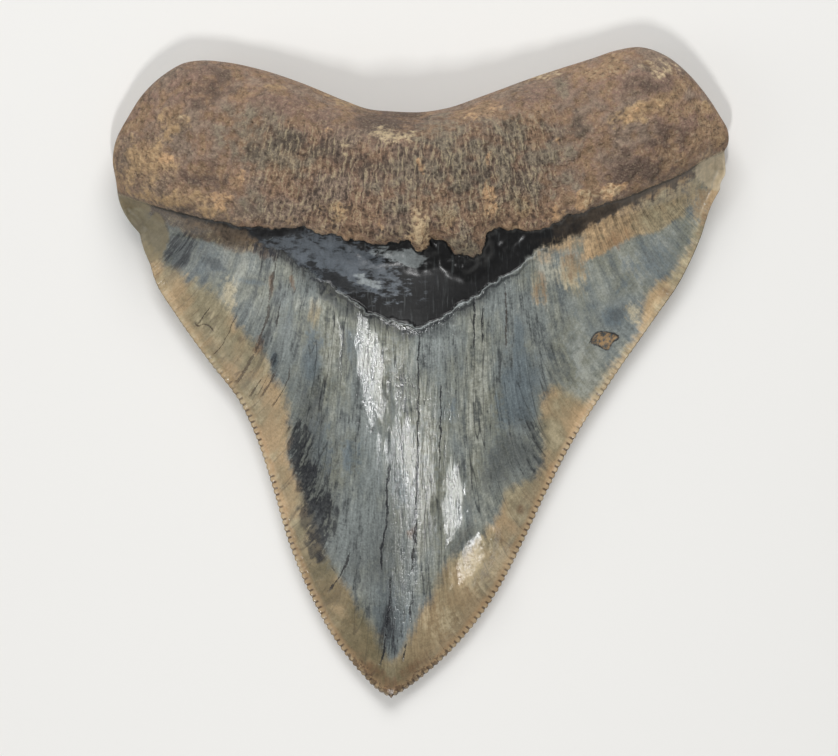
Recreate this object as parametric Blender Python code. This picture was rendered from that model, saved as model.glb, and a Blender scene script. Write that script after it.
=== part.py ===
"""Fossil megatooth-shark tooth, lying on its flatter (labial) face with its tongue side up.

Metres, +Z up. The tip points along -Y and the root's two lobes along +Y. The origin is the
middle of the bounding box, on the surface that the tooth rests on. A real tooth grows as one
piece, so it is one solid: serrated crown, sunken dental band and bony root.
"""

import math

import bmesh
import bpy
import numpy as np
from mathutils import Vector, noise
from mathutils.geometry import delaunay_2d_cdt

# Outline seen from the tongue side, run by run and counter-clockwise from the tip. Each run is one
# smooth curve through its points, and corners are where two runs meet. The widest points set the
# tooth's width of 123 mm, and the tip and the higher lobe its height of 131 mm.
TIP = (-0.0059, -0.0654)
RIGHT_EDGE = [
    TIP, (-0.0035, -0.0640), (0.0021, -0.0597), (0.0087, -0.0532), (0.0151, -0.0446),
    (0.0199, -0.0356), (0.0247, -0.0254), (0.0311, -0.0130), (0.0391, -0.0005),
    (0.0471, 0.0110), (0.0519, 0.0180), (0.0559, 0.0263), (0.0588, 0.0345), (0.0601, 0.0368),
]
RIGHT_CHIP = [(0.0601, 0.0368), (0.0602, 0.0380), (0.0611, 0.0398), (0.0611, 0.0420), (0.0609, 0.0445)]
ROOT_TOP = [
    (0.0609, 0.0445), (0.0616, 0.0458), (0.0616, 0.0484), (0.0599, 0.0516), (0.0567, 0.0564),
    (0.0535, 0.0601), (0.0487, 0.0638), (0.0439, 0.0653), (0.0399, 0.0648), (0.0343, 0.0630),
    (0.0231, 0.0594), (0.0119, 0.0553), (0.0055, 0.0531), (0.0007, 0.0523), (-0.0057, 0.0524),
    (-0.0105, 0.0529), (-0.0153, 0.0546), (-0.0233, 0.0579), (-0.0313, 0.0606), (-0.0393, 0.0623),
    (-0.0441, 0.0626), (-0.0473, 0.0621), (-0.0505, 0.0604), (-0.0553, 0.0562), (-0.0585, 0.0514),
    (-0.0612, 0.0460), (-0.0617, 0.0426), (-0.0611, 0.0386), (-0.0604, 0.0342),
    (-0.0587, 0.0308), (-0.0564, 0.0280),
]
LEFT_NOTCH = [(-0.0564, 0.0280), (-0.0557, 0.0252), (-0.0543, 0.0218)]
LEFT_EDGE = [
    (-0.0543, 0.0218), (-0.0535, 0.0190), (-0.0489, 0.0113), (-0.0425, 0.0023), (-0.0365, -0.0056),
    (-0.0329, -0.0134), (-0.0297, -0.0232), (-0.0265, -0.0342), (-0.0225, -0.0440),
    (-0.0169, -0.0542), (-0.0121, -0.0603), (-0.0081, -0.0642), TIP,
]

# Where the root's lower edge overhangs the dental band, and where the enamel's raised lip starts.
ROOT_MARGIN = [
    (-0.0615, 0.0360), (-0.0537, 0.0336), (-0.0411, 0.0304), (-0.0351, 0.0292), (-0.0239, 0.0286),
    (-0.0187, 0.0277), (-0.0127, 0.0262), (-0.0093, 0.0255), (-0.0055, 0.0259), (-0.0023, 0.0267),
    (-0.0011, 0.0249), (0.0001, 0.0241), (0.0013, 0.0250), (0.0021, 0.0268), (0.0053, 0.0256),
    (0.0089, 0.0228), (0.0119, 0.0244), (0.0127, 0.0276), (0.0203, 0.0284), (0.0247, 0.0290),
    (0.0279, 0.0308), (0.0341, 0.0326), (0.0425, 0.0357), (0.0517, 0.0396), (0.0577, 0.0430),
    (0.0613, 0.0445),
]
ENAMEL_LIP = [
    (-0.0537, 0.0330), (-0.0485, 0.0306), (-0.0431, 0.0284), (-0.0371, 0.0264), (-0.0323, 0.0255),
    (-0.0279, 0.0244), (-0.0215, 0.0196), (-0.0143, 0.0150), (-0.0093, 0.0116), (-0.0059, 0.0102),
    (-0.0025, 0.0089), (0.0023, 0.0103), (0.0061, 0.0126), (0.0109, 0.0155), (0.0143, 0.0179),
    (0.0213, 0.0224), (0.0279, 0.0266), (0.0337, 0.0292), (0.0417, 0.0329), (0.0509, 0.0370),
    (0.0565, 0.0406),
]

# Heights above the resting plane, by station along Y.
CROWN_CREST = [
    (-0.0660, 0.0028), (-0.0620, 0.0044), (-0.0540, 0.0073), (-0.0400, 0.0117), (-0.0200, 0.0166),
    (0.0000, 0.0203), (0.0180, 0.0228), (0.0450, 0.0245),
]
RIM_HEIGHT = [
    (-0.0660, 0.0020), (-0.0300, 0.0024), (0.0050, 0.0030), (0.0250, 0.0038), (0.0360, 0.0050),
    (0.0460, 0.0075), (0.0660, 0.0078),
]
CROWN_FULLNESS = 1.12  # over 1 makes the cutting edge thinner than a plain lens
ROOT_BOSS_HEIGHT = 0.0285
ROOT_LOBE_HEIGHT = 0.0172
ROOT_BOSS_REACH = 0.027
LOBE_END_START, LOBE_END_DROP = 0.044, 0.0045
ROOT_CREST_ABOVE_MARGIN = 0.009
ROOT_TOP_FALL = 0.22
ROOT_ROUNDING_TONGUE, ROOT_ROUNDING_LIP = 0.0095, 0.0062
ROOT_BLEND_BELOW, ROOT_BLEND_ABOVE = 0.0100, 0.0035

# Lip side: flat where the tooth rests, with a shallow hollow between the lobes.
REST_FLAT_SHARE = 0.45
LOBE_HOLLOW_DEPTH, LOBE_HOLLOW_HALF_WIDTH = 0.0024, 0.020
LOBE_HOLLOW_START, LOBE_HOLLOW_END = 0.020, 0.046

# Steps and small relief.
ROOT_LEDGE, ENAMEL_LEDGE = 0.0011, 0.0006
LEDGE_HALF_WIDTH = 0.00045
LIP_ROLL_HEIGHT, LIP_ROLL_WIDTH = 0.00025, 0.0010
SERRATION_PITCH, SERRATION_DEPTH = 0.00128, 0.00034
PITS = {  # centre, half length, half width, turn in degrees, depth
    "nutrient_hole": ((-0.0078, 0.0480), 0.0046, 0.0020, 8, 0.0016),
    "hole_left": ((-0.0150, 0.0455), 0.0018, 0.0012, 20, 0.0009),
    "enamel_pit": ((0.0363, 0.0066), 0.0025, 0.0015, -12, 0.0006),
    "pock_by_the_edge": ((0.0100, -0.0395), 0.0035, 0.0022, 40, 0.0004),
}
CHIPS = {  # centre, radius, depth
    "right_shoulder_chip": ((0.0606, 0.0418), 0.0052, 0.0011),
    "left_shoulder_chip": ((-0.0594, 0.0336), 0.0054, 0.0009),
}
ROOT_LUMP_HEIGHT, ROOT_LUMP_SIZE = 0.00070, 0.0065
ENAMEL_FLUTE_HEIGHT, ENAMEL_FLUTE_SIZE = 0.00022, 0.0042

# Mesh spacing.
TONGUE_SPACING, LIP_SPACING = 0.00215, 0.0052
ROOT_RIM_SPACING, LEDGE_SPACING = 0.0021, 0.0014
MARGIN_ROWS, LIP_ROWS = (-0.00045, 0.00045, 0.0015), (0.00045, -0.00045, -0.0015)
ROOT_RIM_RINGS = (0.0005, 0.0018, 0.0040, 0.0070)
CROWN_ROW = 0.0011
ROW_GAP, LEDGE_GAP = 0.0005, 0.0007
TONGUE_FIELD_START, LIP_FIELD_START = 0.0021, 0.0030
CURVE_STEPS = 12

COLOUR, ROUGHNESS = (0.20, 0.19, 0.16, 1.0), 0.40


def smooth_curve(points):
    """A dense curve through the points, with the tangents of a Catmull-Rom spline."""
    p = np.array(points, float)
    chord = np.maximum(np.linalg.norm(np.diff(p, axis=0), axis=1), 1e-9)
    knots = np.concatenate([[0.0], np.cumsum(chord)])
    slopes = np.gradient(p, knots, axis=0)
    t = np.linspace(0, 1, CURVE_STEPS, endpoint=False)[:, None]
    pieces = []
    for i, length in enumerate(chord):
        a, b = p[i], p[i + 1]
        ta, tb = slopes[i] * length, slopes[i + 1] * length
        pieces.append(
            (2 * t**3 - 3 * t**2 + 1) * a + (t**3 - 2 * t**2 + t) * ta
            + (3 * t**2 - 2 * t**3) * b + (t**3 - t**2) * tb
        )
    return np.concatenate(pieces + [p[-1:]])


def divided(curve, count):
    """The ends of a number of equal steps along a dense curve."""
    run = np.concatenate([[0.0], np.cumsum(np.linalg.norm(np.diff(curve, axis=0), axis=1))])
    at = np.linspace(0, run[-1], count + 1)
    return np.column_stack([np.interp(at, run, curve[:, k]) for k in (0, 1)])


def evenly(curve, spacing):
    """Points at equal steps along a dense curve, nearest to the spacing, both ends included."""
    return divided(curve, max(1, round(np.linalg.norm(np.diff(curve, axis=0), axis=1).sum() / spacing)))


def inward_of_run(run):
    """Unit normals on the left of a run of points; the outline has its inside on the left."""
    along = np.gradient(run, axis=0)
    along /= np.linalg.norm(along, axis=1)[:, None]
    return np.column_stack([-along[:, 1], along[:, 0]])


def distance_to(points, line):
    """Shortest distance from each point to a polyline."""
    a, step = line[:-1], np.diff(line, axis=0)
    nearest = np.full(len(points), np.inf)
    for start, d in zip(a, step):
        along = np.clip(((points - start) @ d) / max(d @ d, 1e-18), 0, 1)
        away = points - start - along[:, None] * d
        nearest = np.minimum(nearest, np.einsum("ij,ij->i", away, away))
    return np.sqrt(nearest)


def above(points, line):
    """Signed distance to a line that runs from left to right, positive on its +Y side."""
    side = np.where(points[:, 1] > np.interp(points[:, 0], line[:, 0], line[:, 1]), 1.0, -1.0)
    return side * distance_to(points, line)


def smoothstep(low, high, value):
    t = np.clip((value - low) / (high - low), 0, 1)
    return t * t * (3 - 2 * t)


def by_station(stations, y):
    curve = smooth_curve(stations)
    return np.interp(y, curve[:, 0], curve[:, 1])


def rough(points, size, seed, stretch=1.0):
    """Smooth noise from -1 to 1 in lumps of the given size, drawn out along Y by stretch."""
    scale = 1 / size
    return np.array([
        noise.fractal(Vector((x * scale, y * scale / stretch, seed)), 0.9, 2.0, 2) for x, y in points
    ])


class Form:
    """The tooth's two faces as heights over the plane that it rests on."""

    def __init__(self):
        runs = [smooth_curve(r) for r in (RIGHT_EDGE, RIGHT_CHIP, ROOT_TOP, LEFT_NOTCH, LEFT_EDGE)]
        self.runs = runs
        self.outline = np.concatenate([run[:-1] for run in runs] + [runs[0][:1]])
        right = np.concatenate(runs[:2])
        left = np.concatenate([runs[2][runs[2][:, 0] < -0.0604], runs[3], runs[4]])[::-1]
        self.right = right[np.argsort(right[:, 1])]
        self.left = left[np.argsort(left[:, 1])]
        self.margin = smooth_curve(ROOT_MARGIN)
        self.lip = smooth_curve(ENAMEL_LIP)

    def across(self, p):
        """-1 on the crown's left edge, 1 on its right edge."""
        left = np.interp(p[:, 1], self.left[:, 1], self.left[:, 0])
        right = np.interp(p[:, 1], self.right[:, 1], self.right[:, 0])
        return np.clip((2 * p[:, 0] - left - right) / np.maximum(right - left, 1e-5), -1, 1)

    def rim(self, p):
        return by_station(RIM_HEIGHT, p[:, 1])

    def rootness(self, p):
        return smoothstep(-ROOT_BLEND_BELOW, ROOT_BLEND_ABOVE, above(p, self.margin))

    def tongue_side(self, p):
        """Height of the upper face: a full lens of a crown that swells into the root's boss."""
        rim, edge = self.rim(p), distance_to(p, self.outline)
        from_margin, from_lip = above(p, self.margin), above(p, self.lip)
        crest = by_station(CROWN_CREST, p[:, 1])
        crown = rim + (crest - rim) * (1 - self.across(p) ** 2) ** CROWN_FULLNESS

        sideways = np.exp(-((p[:, 0] / ROOT_BOSS_REACH) ** 2))
        root = ROOT_LOBE_HEIGHT + (ROOT_BOSS_HEIGHT - ROOT_LOBE_HEIGHT) * sideways
        root -= LOBE_END_DROP * smoothstep(LOBE_END_START, 0.062, np.abs(p[:, 0]))
        fall = (from_margin - ROOT_CREST_ABOVE_MARGIN) / 0.020
        root *= 1 - ROOT_TOP_FALL * np.clip(fall, -0.5, 1.4) ** 2
        rounding = np.clip(edge / ROOT_ROUNDING_TONGUE, 0, 1)
        root = rim + (root - rim) * np.sqrt(1 - (1 - rounding) ** 2)

        share = self.rootness(p)
        height = crown + (root - crown) * share
        height += self.small_relief(p, edge, from_margin, from_lip)
        return np.where(edge < 1e-7, rim, height)

    def small_relief(self, p, edge, from_margin, from_lip):
        """Ledges, chips, pits and lumps, all fading out at the rim."""
        inside = smoothstep(0, 0.0020, edge)
        on_root = smoothstep(-LEDGE_HALF_WIDTH, LEDGE_HALF_WIDTH, from_margin)
        on_enamel = smoothstep(-LEDGE_HALF_WIDTH, LEDGE_HALF_WIDTH, -from_lip)
        relief = ROOT_LEDGE * (on_root - 1) + ENAMEL_LEDGE * on_enamel * (1 - on_root)
        relief += LIP_ROLL_HEIGHT * np.exp(-((from_lip / LIP_ROLL_WIDTH) ** 2)) * on_enamel
        relief += ROOT_LUMP_HEIGHT * rough(p, ROOT_LUMP_SIZE, 3.1) * on_root
        relief += ENAMEL_FLUTE_HEIGHT * rough(p, ENAMEL_FLUTE_SIZE, 8.4, stretch=9) * (1 - on_root)
        for (cx, cy), half_length, half_width, turn, depth in PITS.values():
            c, s = math.cos(math.radians(turn)), math.sin(math.radians(turn))
            u = ((p[:, 0] - cx) * c + (p[:, 1] - cy) * s) / half_length
            v = ((p[:, 1] - cy) * c - (p[:, 0] - cx) * s) / half_width
            relief -= depth * (1 - smoothstep(0.45, 1.1, np.hypot(u, v)))
        for centre, radius, depth in CHIPS.values():
            away = np.linalg.norm(p - centre, axis=1)
            below_root = 1 - on_root if centre[0] > 0 else 1
            relief -= depth * (1 - smoothstep(radius - 0.0007, radius, away)) * below_root
        return relief * inside

    def lip_side(self, p):
        """Height of the lower face: zero over the flat that the tooth rests on."""
        rim, edge = self.rim(p), distance_to(p, self.outline)
        flat = np.clip((np.abs(self.across(p)) - REST_FLAT_SHARE) / (1 - REST_FLAT_SHARE), 0, 1)
        tip_lift = smoothstep(-0.045, -0.066, p[:, 1])
        crown = rim * np.maximum(flat**2.2, 0.8 * tip_lift)
        rounding = np.clip(edge / ROOT_ROUNDING_LIP, 0, 1)
        root = rim * (1 - np.sqrt(1 - (1 - rounding) ** 2))
        hollow = np.exp(-((p[:, 0] / LOBE_HOLLOW_HALF_WIDTH) ** 2)) - 0.25
        hollow = LOBE_HOLLOW_DEPTH * np.maximum(hollow, 0) / 0.75
        root += hollow * smoothstep(LOBE_HOLLOW_START, LOBE_HOLLOW_END, p[:, 1])
        height = crown + (root - crown) * smoothstep(0.024, 0.046, p[:, 1])
        return np.where(edge < 1e-7, rim, height)


def teeth_along(run):
    """How many serrations fit a cutting edge."""
    return round(np.linalg.norm(np.diff(run, axis=0), axis=1).sum() / SERRATION_PITCH)


def serrated(run):
    """Rim points along a cutting edge: a tooth, a notch, a tooth, and so on."""
    rim = divided(run, 2 * teeth_along(run))
    rim[1:-1:2] += SERRATION_DEPTH * inward_of_run(rim)[1:-1:2]
    return rim


def rim_loop(form):
    """The closed rim that both faces share."""
    right, chip, root, notch, left = form.runs
    parts = [
        serrated(right), evenly(chip, ROOT_RIM_SPACING / 2), evenly(root, ROOT_RIM_SPACING),
        evenly(notch, ROOT_RIM_SPACING), serrated(left),
    ]
    return np.concatenate([part[:-1] for part in parts])


def rows_inside(form):
    """Rows of points that follow the rim: one behind the serrations, several where the root rounds."""
    right, chip, root, notch, left = form.runs
    rows = []
    for run in (right, left):
        line = divided(run, teeth_along(run))
        rows.append(line + CROWN_ROW * inward_of_run(line))
    rim = evenly(np.concatenate([chip[:-1], root[:-1], notch]), ROOT_RIM_SPACING)
    for depth in ROOT_RIM_RINGS:
        rows.append(rim + depth * inward_of_run(rim))
    rows = np.concatenate([row[2:-2] for row in rows])
    edge = distance_to(rows, form.outline)
    return rows[(edge > 0.9 * min(ROOT_RIM_RINGS)) & enclosed(rows, form.outline)]


def ledge_rows(form):
    """Rows along each ledge: at its foot, at its top and where its rolled edge ends."""
    rows = []
    for line, offsets in ((form.margin, MARGIN_ROWS), (form.lip, LIP_ROWS)):
        line = evenly(line, LEDGE_SPACING)
        for offset in offsets:
            row = line + offset * inward_of_run(line)
            rows.append(row[apart(row, np.concatenate(rows), ROW_GAP)] if rows else row)
    rows = np.concatenate(rows)
    return rows[(distance_to(rows, form.outline) > CROWN_ROW) & enclosed(rows, form.outline)]


def enclosed(points, loop):
    """Whether each point lies inside the closed loop, by counting the crossings to its right."""
    inside = np.zeros(len(points), bool)
    for (x0, y0), (x1, y1) in zip(loop[:-1], loop[1:]):
        crosses = (y0 > points[:, 1]) != (y1 > points[:, 1])
        at = x0 + (points[:, 1] - y0) * (x1 - x0) / ((y1 - y0) or 1e-12)
        inside ^= crosses & (points[:, 0] < at)
    return inside


def apart(points, others, gap):
    """Which points stay further than the gap from all the others."""
    return np.array([np.min(np.sum((others - p) ** 2, axis=1)) > gap**2 for p in points])


def field_points(form, spacing, placed, from_rim):
    """A triangular grid inside the outline, clear of the rim and of the points already placed."""
    low, high = form.outline.min(axis=0), form.outline.max(axis=0)
    row_step = spacing * math.sqrt(3) / 2
    across, up = ((high - low) / (spacing, row_step)).astype(int) + 1
    i, j = np.meshgrid(np.arange(across), np.arange(up))
    x, y = low[0] + spacing * (i + 0.5 * (j % 2)), low[1] + row_step * j
    grid = np.column_stack([x.ravel(), y.ravel()])
    grid = grid[enclosed(grid, form.outline) & (distance_to(grid, form.outline) > from_rim)]
    return grid[apart(grid, placed, 0.55 * spacing)]


def face_mesh(rim, inner):
    """Triangles that fill the rim and pass through the inner points; the rim's points come first."""
    flat = [Vector(p) for p in np.concatenate([rim, inner])]
    made = delaunay_2d_cdt(flat, [], [list(range(len(rim)))], 1, 1e-7)
    points, triangles, origins = np.array([p[:] for p in made[0]]), made[2], made[3]
    if len(points) != len(flat) or any(o != [i] for i, o in enumerate(origins)):
        raise RuntimeError("rim or inner points coincide: widen the spacing")
    return points, triangles


def without_chords(rim, inner):
    """The filled rim, with a point added on each edge that would join two rim points directly."""
    count = len(rim)
    while True:
        points, triangles = face_mesh(rim, inner)
        sides = {tuple(sorted(pair)) for a, b, c in triangles for pair in ((a, b), (b, c), (c, a))}
        chords = [(a, b) for a, b in sides if b < count and (b - a) not in (1, count - 1)]
        if not chords:
            return points, triangles
        middles = [(rim[a] + rim[b]) / 2 for a, b in sorted(chords)]
        inner = np.concatenate([inner, middles])


def tooth_mesh(form):
    """Closed mesh of both faces, sewn along the rim."""
    rim = rim_loop(form)
    rows = rows_inside(form)
    ledges = ledge_rows(form)
    upper_rows = np.concatenate([rows[apart(rows, ledges, LEDGE_GAP)], ledges])
    upper_field = field_points(form, TONGUE_SPACING, upper_rows, TONGUE_FIELD_START)
    lower_field = field_points(form, LIP_SPACING, rows, LIP_FIELD_START)
    upper_inner = np.concatenate([upper_rows, upper_field])
    lower_inner = np.concatenate([rows, lower_field])

    upper_plan, upper_faces = without_chords(rim, upper_inner)
    lower_plan, lower_faces = without_chords(rim, lower_inner)
    mesh = bmesh.new()
    upper = [mesh.verts.new((x, y, z)) for (x, y), z in zip(upper_plan, form.tongue_side(upper_plan))]
    count = len(rim)
    for vert, z in zip(upper[:count], form.rim(rim)):
        vert.co.z = z
    lower_z = form.lip_side(lower_plan[count:])
    lower = upper[:count] + [
        mesh.verts.new((x, y, z)) for (x, y), z in zip(lower_plan[count:], lower_z)
    ]
    for a, b, c in upper_faces:
        mesh.faces.new((upper[a], upper[b], upper[c]))
    for a, b, c in lower_faces:
        mesh.faces.new((lower[c], lower[b], lower[a]))
    return mesh


def fossil_material():
    material = bpy.data.materials.new("fossil_tooth")
    material.use_nodes = True
    shader = material.node_tree.nodes["Principled BSDF"]
    shader.inputs["Base Color"].default_value = COLOUR
    shader.inputs["Roughness"].default_value = ROUGHNESS
    shader.inputs["Metallic"].default_value = 0.0
    material.diffuse_color = COLOUR
    return material


def build():
    for old in list(bpy.data.objects):
        bpy.data.objects.remove(old)
    solid = tooth_mesh(Form())
    data = bpy.data.meshes.new("tooth")
    solid.to_mesh(data)
    solid.free()
    data.materials.append(fossil_material())
    data.shade_smooth()
    data.set_sharp_from_angle(angle=math.radians(40))
    collection = bpy.data.collections.new("fossil_tooth")
    bpy.context.scene.collection.children.link(collection)
    collection.objects.link(bpy.data.objects.new("tooth", data))


build()
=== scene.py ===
"""Fossil megatooth-shark tooth: its finely modelled surface, its finish and a plain stage.

The tooth lies on its lip side with the tongue side up and its tip along -Y. Lengths in this file
are millimetres in the tooth's own plan, seen from above, and become metres in the mesh. The whole
tooth is one mesh: two faces over one rim, each a height over the plane that the tooth rests on.
Stains, cracks and zones are written to the mesh as smooth fields, and the material turns them into
colour, gloss and grain. Some of that colour is painted light and shade: glints, sheen and shadows
along the lip and the band, highlights on the crown and light and shade over the root's relief.
"""

import math

import bpy
import numpy as np
from bpy.props import FloatProperty, FloatVectorProperty, PointerProperty
from bpy.types import Operator, Panel, PropertyGroup
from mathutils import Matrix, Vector, noise
from mathutils.geometry import delaunay_2d_cdt


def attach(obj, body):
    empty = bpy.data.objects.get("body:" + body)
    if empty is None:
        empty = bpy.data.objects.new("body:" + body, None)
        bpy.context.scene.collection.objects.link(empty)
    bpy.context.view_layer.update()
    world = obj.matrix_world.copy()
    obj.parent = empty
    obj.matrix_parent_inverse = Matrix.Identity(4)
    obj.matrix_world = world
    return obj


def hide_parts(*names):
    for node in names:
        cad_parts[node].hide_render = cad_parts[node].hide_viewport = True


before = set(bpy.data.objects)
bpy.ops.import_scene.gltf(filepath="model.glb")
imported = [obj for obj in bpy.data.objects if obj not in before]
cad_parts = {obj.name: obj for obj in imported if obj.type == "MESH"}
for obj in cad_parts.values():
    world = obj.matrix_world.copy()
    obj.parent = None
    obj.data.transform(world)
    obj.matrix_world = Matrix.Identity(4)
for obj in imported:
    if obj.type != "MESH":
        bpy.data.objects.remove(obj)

bl_info = {
    "name": "Fossil Shark Tooth",
    "version": (1, 0, 0),
    "blender": (4, 5, 0),
    "location": "3D View > Sidebar > Fossil",
    "description": "Builds a serrated fossil shark tooth and a plain stage to show it on",
    "category": "Add Mesh",
}

MM = 0.001

# ---------------------------------------------------------------- outline and zone lines

# Outline from the tip, counter-clockwise. Each run is one smooth curve, with corners between runs.
TIP = (-5.9, -65.4)
RIGHT_EDGE = [
    TIP, (-3.5, -64.0), (2.1, -59.7), (8.7, -53.2), (15.1, -44.6), (19.9, -35.6), (24.7, -25.4),
    (31.1, -13.0), (39.1, -0.5), (47.1, 11.0), (51.9, 18.0), (55.9, 26.3), (58.8, 34.5), (60.1, 36.8),
]
RIGHT_CHIP = [(60.1, 36.8), (60.2, 38), (61.1, 39.8), (61.1, 42), (60.9, 44.5)]
ROOT_TOP = [
    (60.9, 44.5), (61.6, 45.8), (61.6, 48.4), (59.9, 51.6), (56.7, 56.4), (53.5, 60.1), (48.7, 63.8),
    (43.9, 65.3), (39.9, 64.8), (34.3, 63), (23.1, 59.4), (11.9, 55.3), (5.5, 53.1), (0.7, 52.3),
    (-5.7, 52.4), (-10.5, 52.9), (-15.3, 54.6), (-23.3, 57.9), (-31.3, 60.6), (-39.3, 62.3),
    (-44.1, 62.6), (-47.3, 62.1), (-50.5, 60.4), (-55.3, 56.2), (-58.5, 51.4), (-61.2, 46), (-61.7, 42.6),
    (-61.1, 38.6), (-60.4, 34.2), (-58.7, 30.8), (-56.4, 28),
]
LEFT_SHOULDER = -60.4
LEFT_NOTCH = [(-56.4, 28), (-55.7, 25.2), (-54.3, 21.8)]
LEFT_EDGE = [
    (-54.3, 21.8), (-53.5, 19.0), (-48.9, 11.3), (-42.5, 2.3), (-36.5, -5.6), (-32.9, -13.4),
    (-29.7, -23.2), (-26.5, -34.2), (-22.5, -44.0), (-16.9, -54.2), (-12.1, -60.3), (-8.1, -64.2), TIP,
]

# Left to right: the root's overhanging lower edge, the enamel's raised lip and, on the lip side,
# the plain line where the enamel ends.
ROOT_MARGIN = [
    (-61.5, 36), (-53.7, 33.6), (-41.1, 30.4), (-35.1, 29.2), (-23.9, 28.6), (-18.7, 27.7), (-12.7, 26.2),
    (-9.3, 25.5), (-5.5, 25.9), (-2.3, 26.7), (-1.1, 24.9), (0.1, 24.1), (1.3, 25), (2.1, 26.8),
    (5.3, 25.6), (8.9, 22.8), (11.9, 24.4), (12.7, 27.6), (20.3, 28.4), (24.7, 29), (27.9, 30.8),
    (34.1, 32.6), (42.5, 35.7), (51.7, 39.6), (57.7, 43), (61.3, 44.5),
]
ENAMEL_LIP = [
    (-53.7, 33), (-48.5, 30.6), (-43.1, 28.4), (-37.1, 26.4), (-32.3, 25.5), (-27.9, 24.4), (-21.5, 19.6),
    (-14.3, 15), (-9.3, 11.6), (-5.9, 10.2), (-2.5, 8.9), (2.3, 10.3), (6.1, 12.6), (10.9, 15.5),
    (14.3, 17.9), (21.3, 22.4), (27.9, 26.6), (33.7, 29.2), (41.7, 32.9), (50.9, 37), (56.5, 40.6),
]
LIP_SIDE_MARGIN = [
    (-61.5, 36), (-50, 33), (-36, 29.6), (-22, 26.4), (-10, 24.2), (0, 23.6), (11, 24.6), (24, 27.4),
    (38, 31.6), (51, 36.6), (61.3, 41.5),
]
# How far below the root's lower edge the band stays dark, at each x.
BAND_DEPTH = [
    (-66, 0.4), (-53, 0.5), (-42, 0.8), (-34, 1.6), (-31, 4), (-27, 14), (0, 22), (14, 17), (19, 14),
    (24, 8), (28, 5.2), (32, 3.9), (36, 2.9), (40, 2), (46, 1), (66, 0.4),
]
# The inner ends of the tan zones along both cutting edges, from the left shoulder round the tip.
TAN_LIMIT = [
    (-55.7, 26.6), (-50.5, 21.5), (-46, 18.6), (-41, 15.8), (-37.6, 11.6), (-34.8, 7.6), (-31.2, 3.6),
    (-29.3, -0.6), (-26.8, -5), (-26.2, -11.4), (-27, -16.4), (-24.8, -21.4), (-23.2, -25.4),
    (-21.6, -31.4), (-18.8, -37.5), (-15, -42.5), (-11.5, -47.5), (-8.2, -52.5), (-5.6, -57.8), (-4, -56),
    (-2, -52.5), (0.5, -47), (2.9, -43), (5.3, -38.5), (9.9, -34.4), (15.5, -29), (17.5, -24),
    (22.8, -20.5), (24.4, -15), (24.4, -8.5), (25.2, -4), (27.5, -2.4), (29.8, -4), (33.4, -5.8),
    (36.8, -1.2), (40.8, 4.4), (44, 9.2), (44.6, 13.6), (46.8, 17.4), (50.9, 20.8), (54, 26.6),
    (56.9, 33.6),
]

# ---------------------------------------------------------------- form

# Heights of the crown's crest and of the rim between the two faces, at each level.
CROWN_CREST = [
    (-66, 2.8), (-62, 4.4), (-54, 7.3), (-40, 11.4), (-30, 14.1), (-16, 17.4), (0, 20.3), (9, 21.5),
    (18, 22.1), (45, 24.4),
]
RIM_HEIGHT = [(-66, 2), (-30, 2.4), (5, 3), (25, 3.8), (36, 5), (46, 7.5), (66, 7.8)]
CROWN_FULLNESS = 1.12
# How far the crown's crest lies from its middle, as a share of its half width, at each level.
CREST_SHIFT = [(-66, 0), (-50, 0.08), (-34, 0.1), (-16, -0.04), (4, -0.12), (24, -0.06), (60, 0)]
# The root: its boss in the middle, its lobes and their ends, its fall on both sides of its crest,
# how far in from the rim it is rounded, and where it blends into the crown.
ROOT_BOSS_HEIGHT, ROOT_LOBE_HEIGHT, ROOT_BOSS_REACH = 28.5, 17.2, 27.0
LOBE_END, LOBE_END_DROP = (44.0, 62.0), 4.5
ROOT_CREST_ABOVE_MARGIN, ROOT_TOP_FALL = 9.0, 0.22
ROOT_FALL_LENGTH, ROOT_FALL_RANGE = 20.0, (-0.5, 1.4)
ROOT_ROUNDING_TONGUE, ROOT_ROUNDING_LIP = 9.5, 6.2
ROOT_BLEND = (-5.0, 3.5)
# The lip side: the flat that the tooth rests on, its lifted tip and the hollow between the lobes.
REST_FLAT_SHARE, REST_RISE_POWER = 0.45, 2.2
TIP_LIFT_LEVELS, TIP_LIFT_SHARE = (-45.0, -66.0), 0.8
LIP_SIDE_ROOT_LEVELS = (24.0, 46.0)
LOBE_HOLLOW_DEPTH, LOBE_HOLLOW_HALF_WIDTH, LOBE_HOLLOW_CUT = 2.4, 20.0, 0.25
LOBE_HOLLOW_LEVELS = (20.0, 46.0)
# The least that is left between the two faces, and how far in from the rim it is reached.
THINNEST, THINNEST_REACH = 0.5, 1.2

SERRATION_PITCH, SERRATION_DEPTH, SERRATION_REACH, NOTCH_SHARPNESS = 1.28, 0.24, 0.9, 1.5
GROOVE_REACH, GROOVE_FADE = 0.75, 0.25
# Share of the serrations' depth that is left at each level; the shoulders are worn almost smooth.
SERRATION_WEAR = [(-66, 1), (-30, 1), (-12, 0.75), (4, 0.4), (16, 0.15), (30, 0), (40, 0)]

ROOT_LEDGE, ENAMEL_LEDGE, LEDGE_HALF_WIDTH = 1.1, 0.6, 0.30
LIP_ROLL_HEIGHT, LIP_ROLL_WIDTH = 0.18, 0.6
# Along X, where the raised lip begins and where it is in full, from both sides.
LIP_FROM_LEFT, LIP_FROM_RIGHT = (-24.0, -13.0), (34.0, 16.0)
# The upright ridges: where they stand, and how they fan out from a level.
RIDGED_MIDDLE, RIDGES_ASIDE, RIDGES_UP = -3.0, (38.0, 24.0), (26.0, 17.0)
RIDGE_PITCH, RIDGE_FANNING, RIDGE_FAN_LEVEL = 1.2, 0.009, 37.0
MARGIN_LUMPS_REACH, RELIEF_FADE_TONGUE, RELIEF_FADE_LIP = 4.0, 1.6, 2.0
LIP_SIDE_ROOT_LIFT, LIP_SIDE_ROOT_LUMPS = 0.25, 0.3
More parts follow.
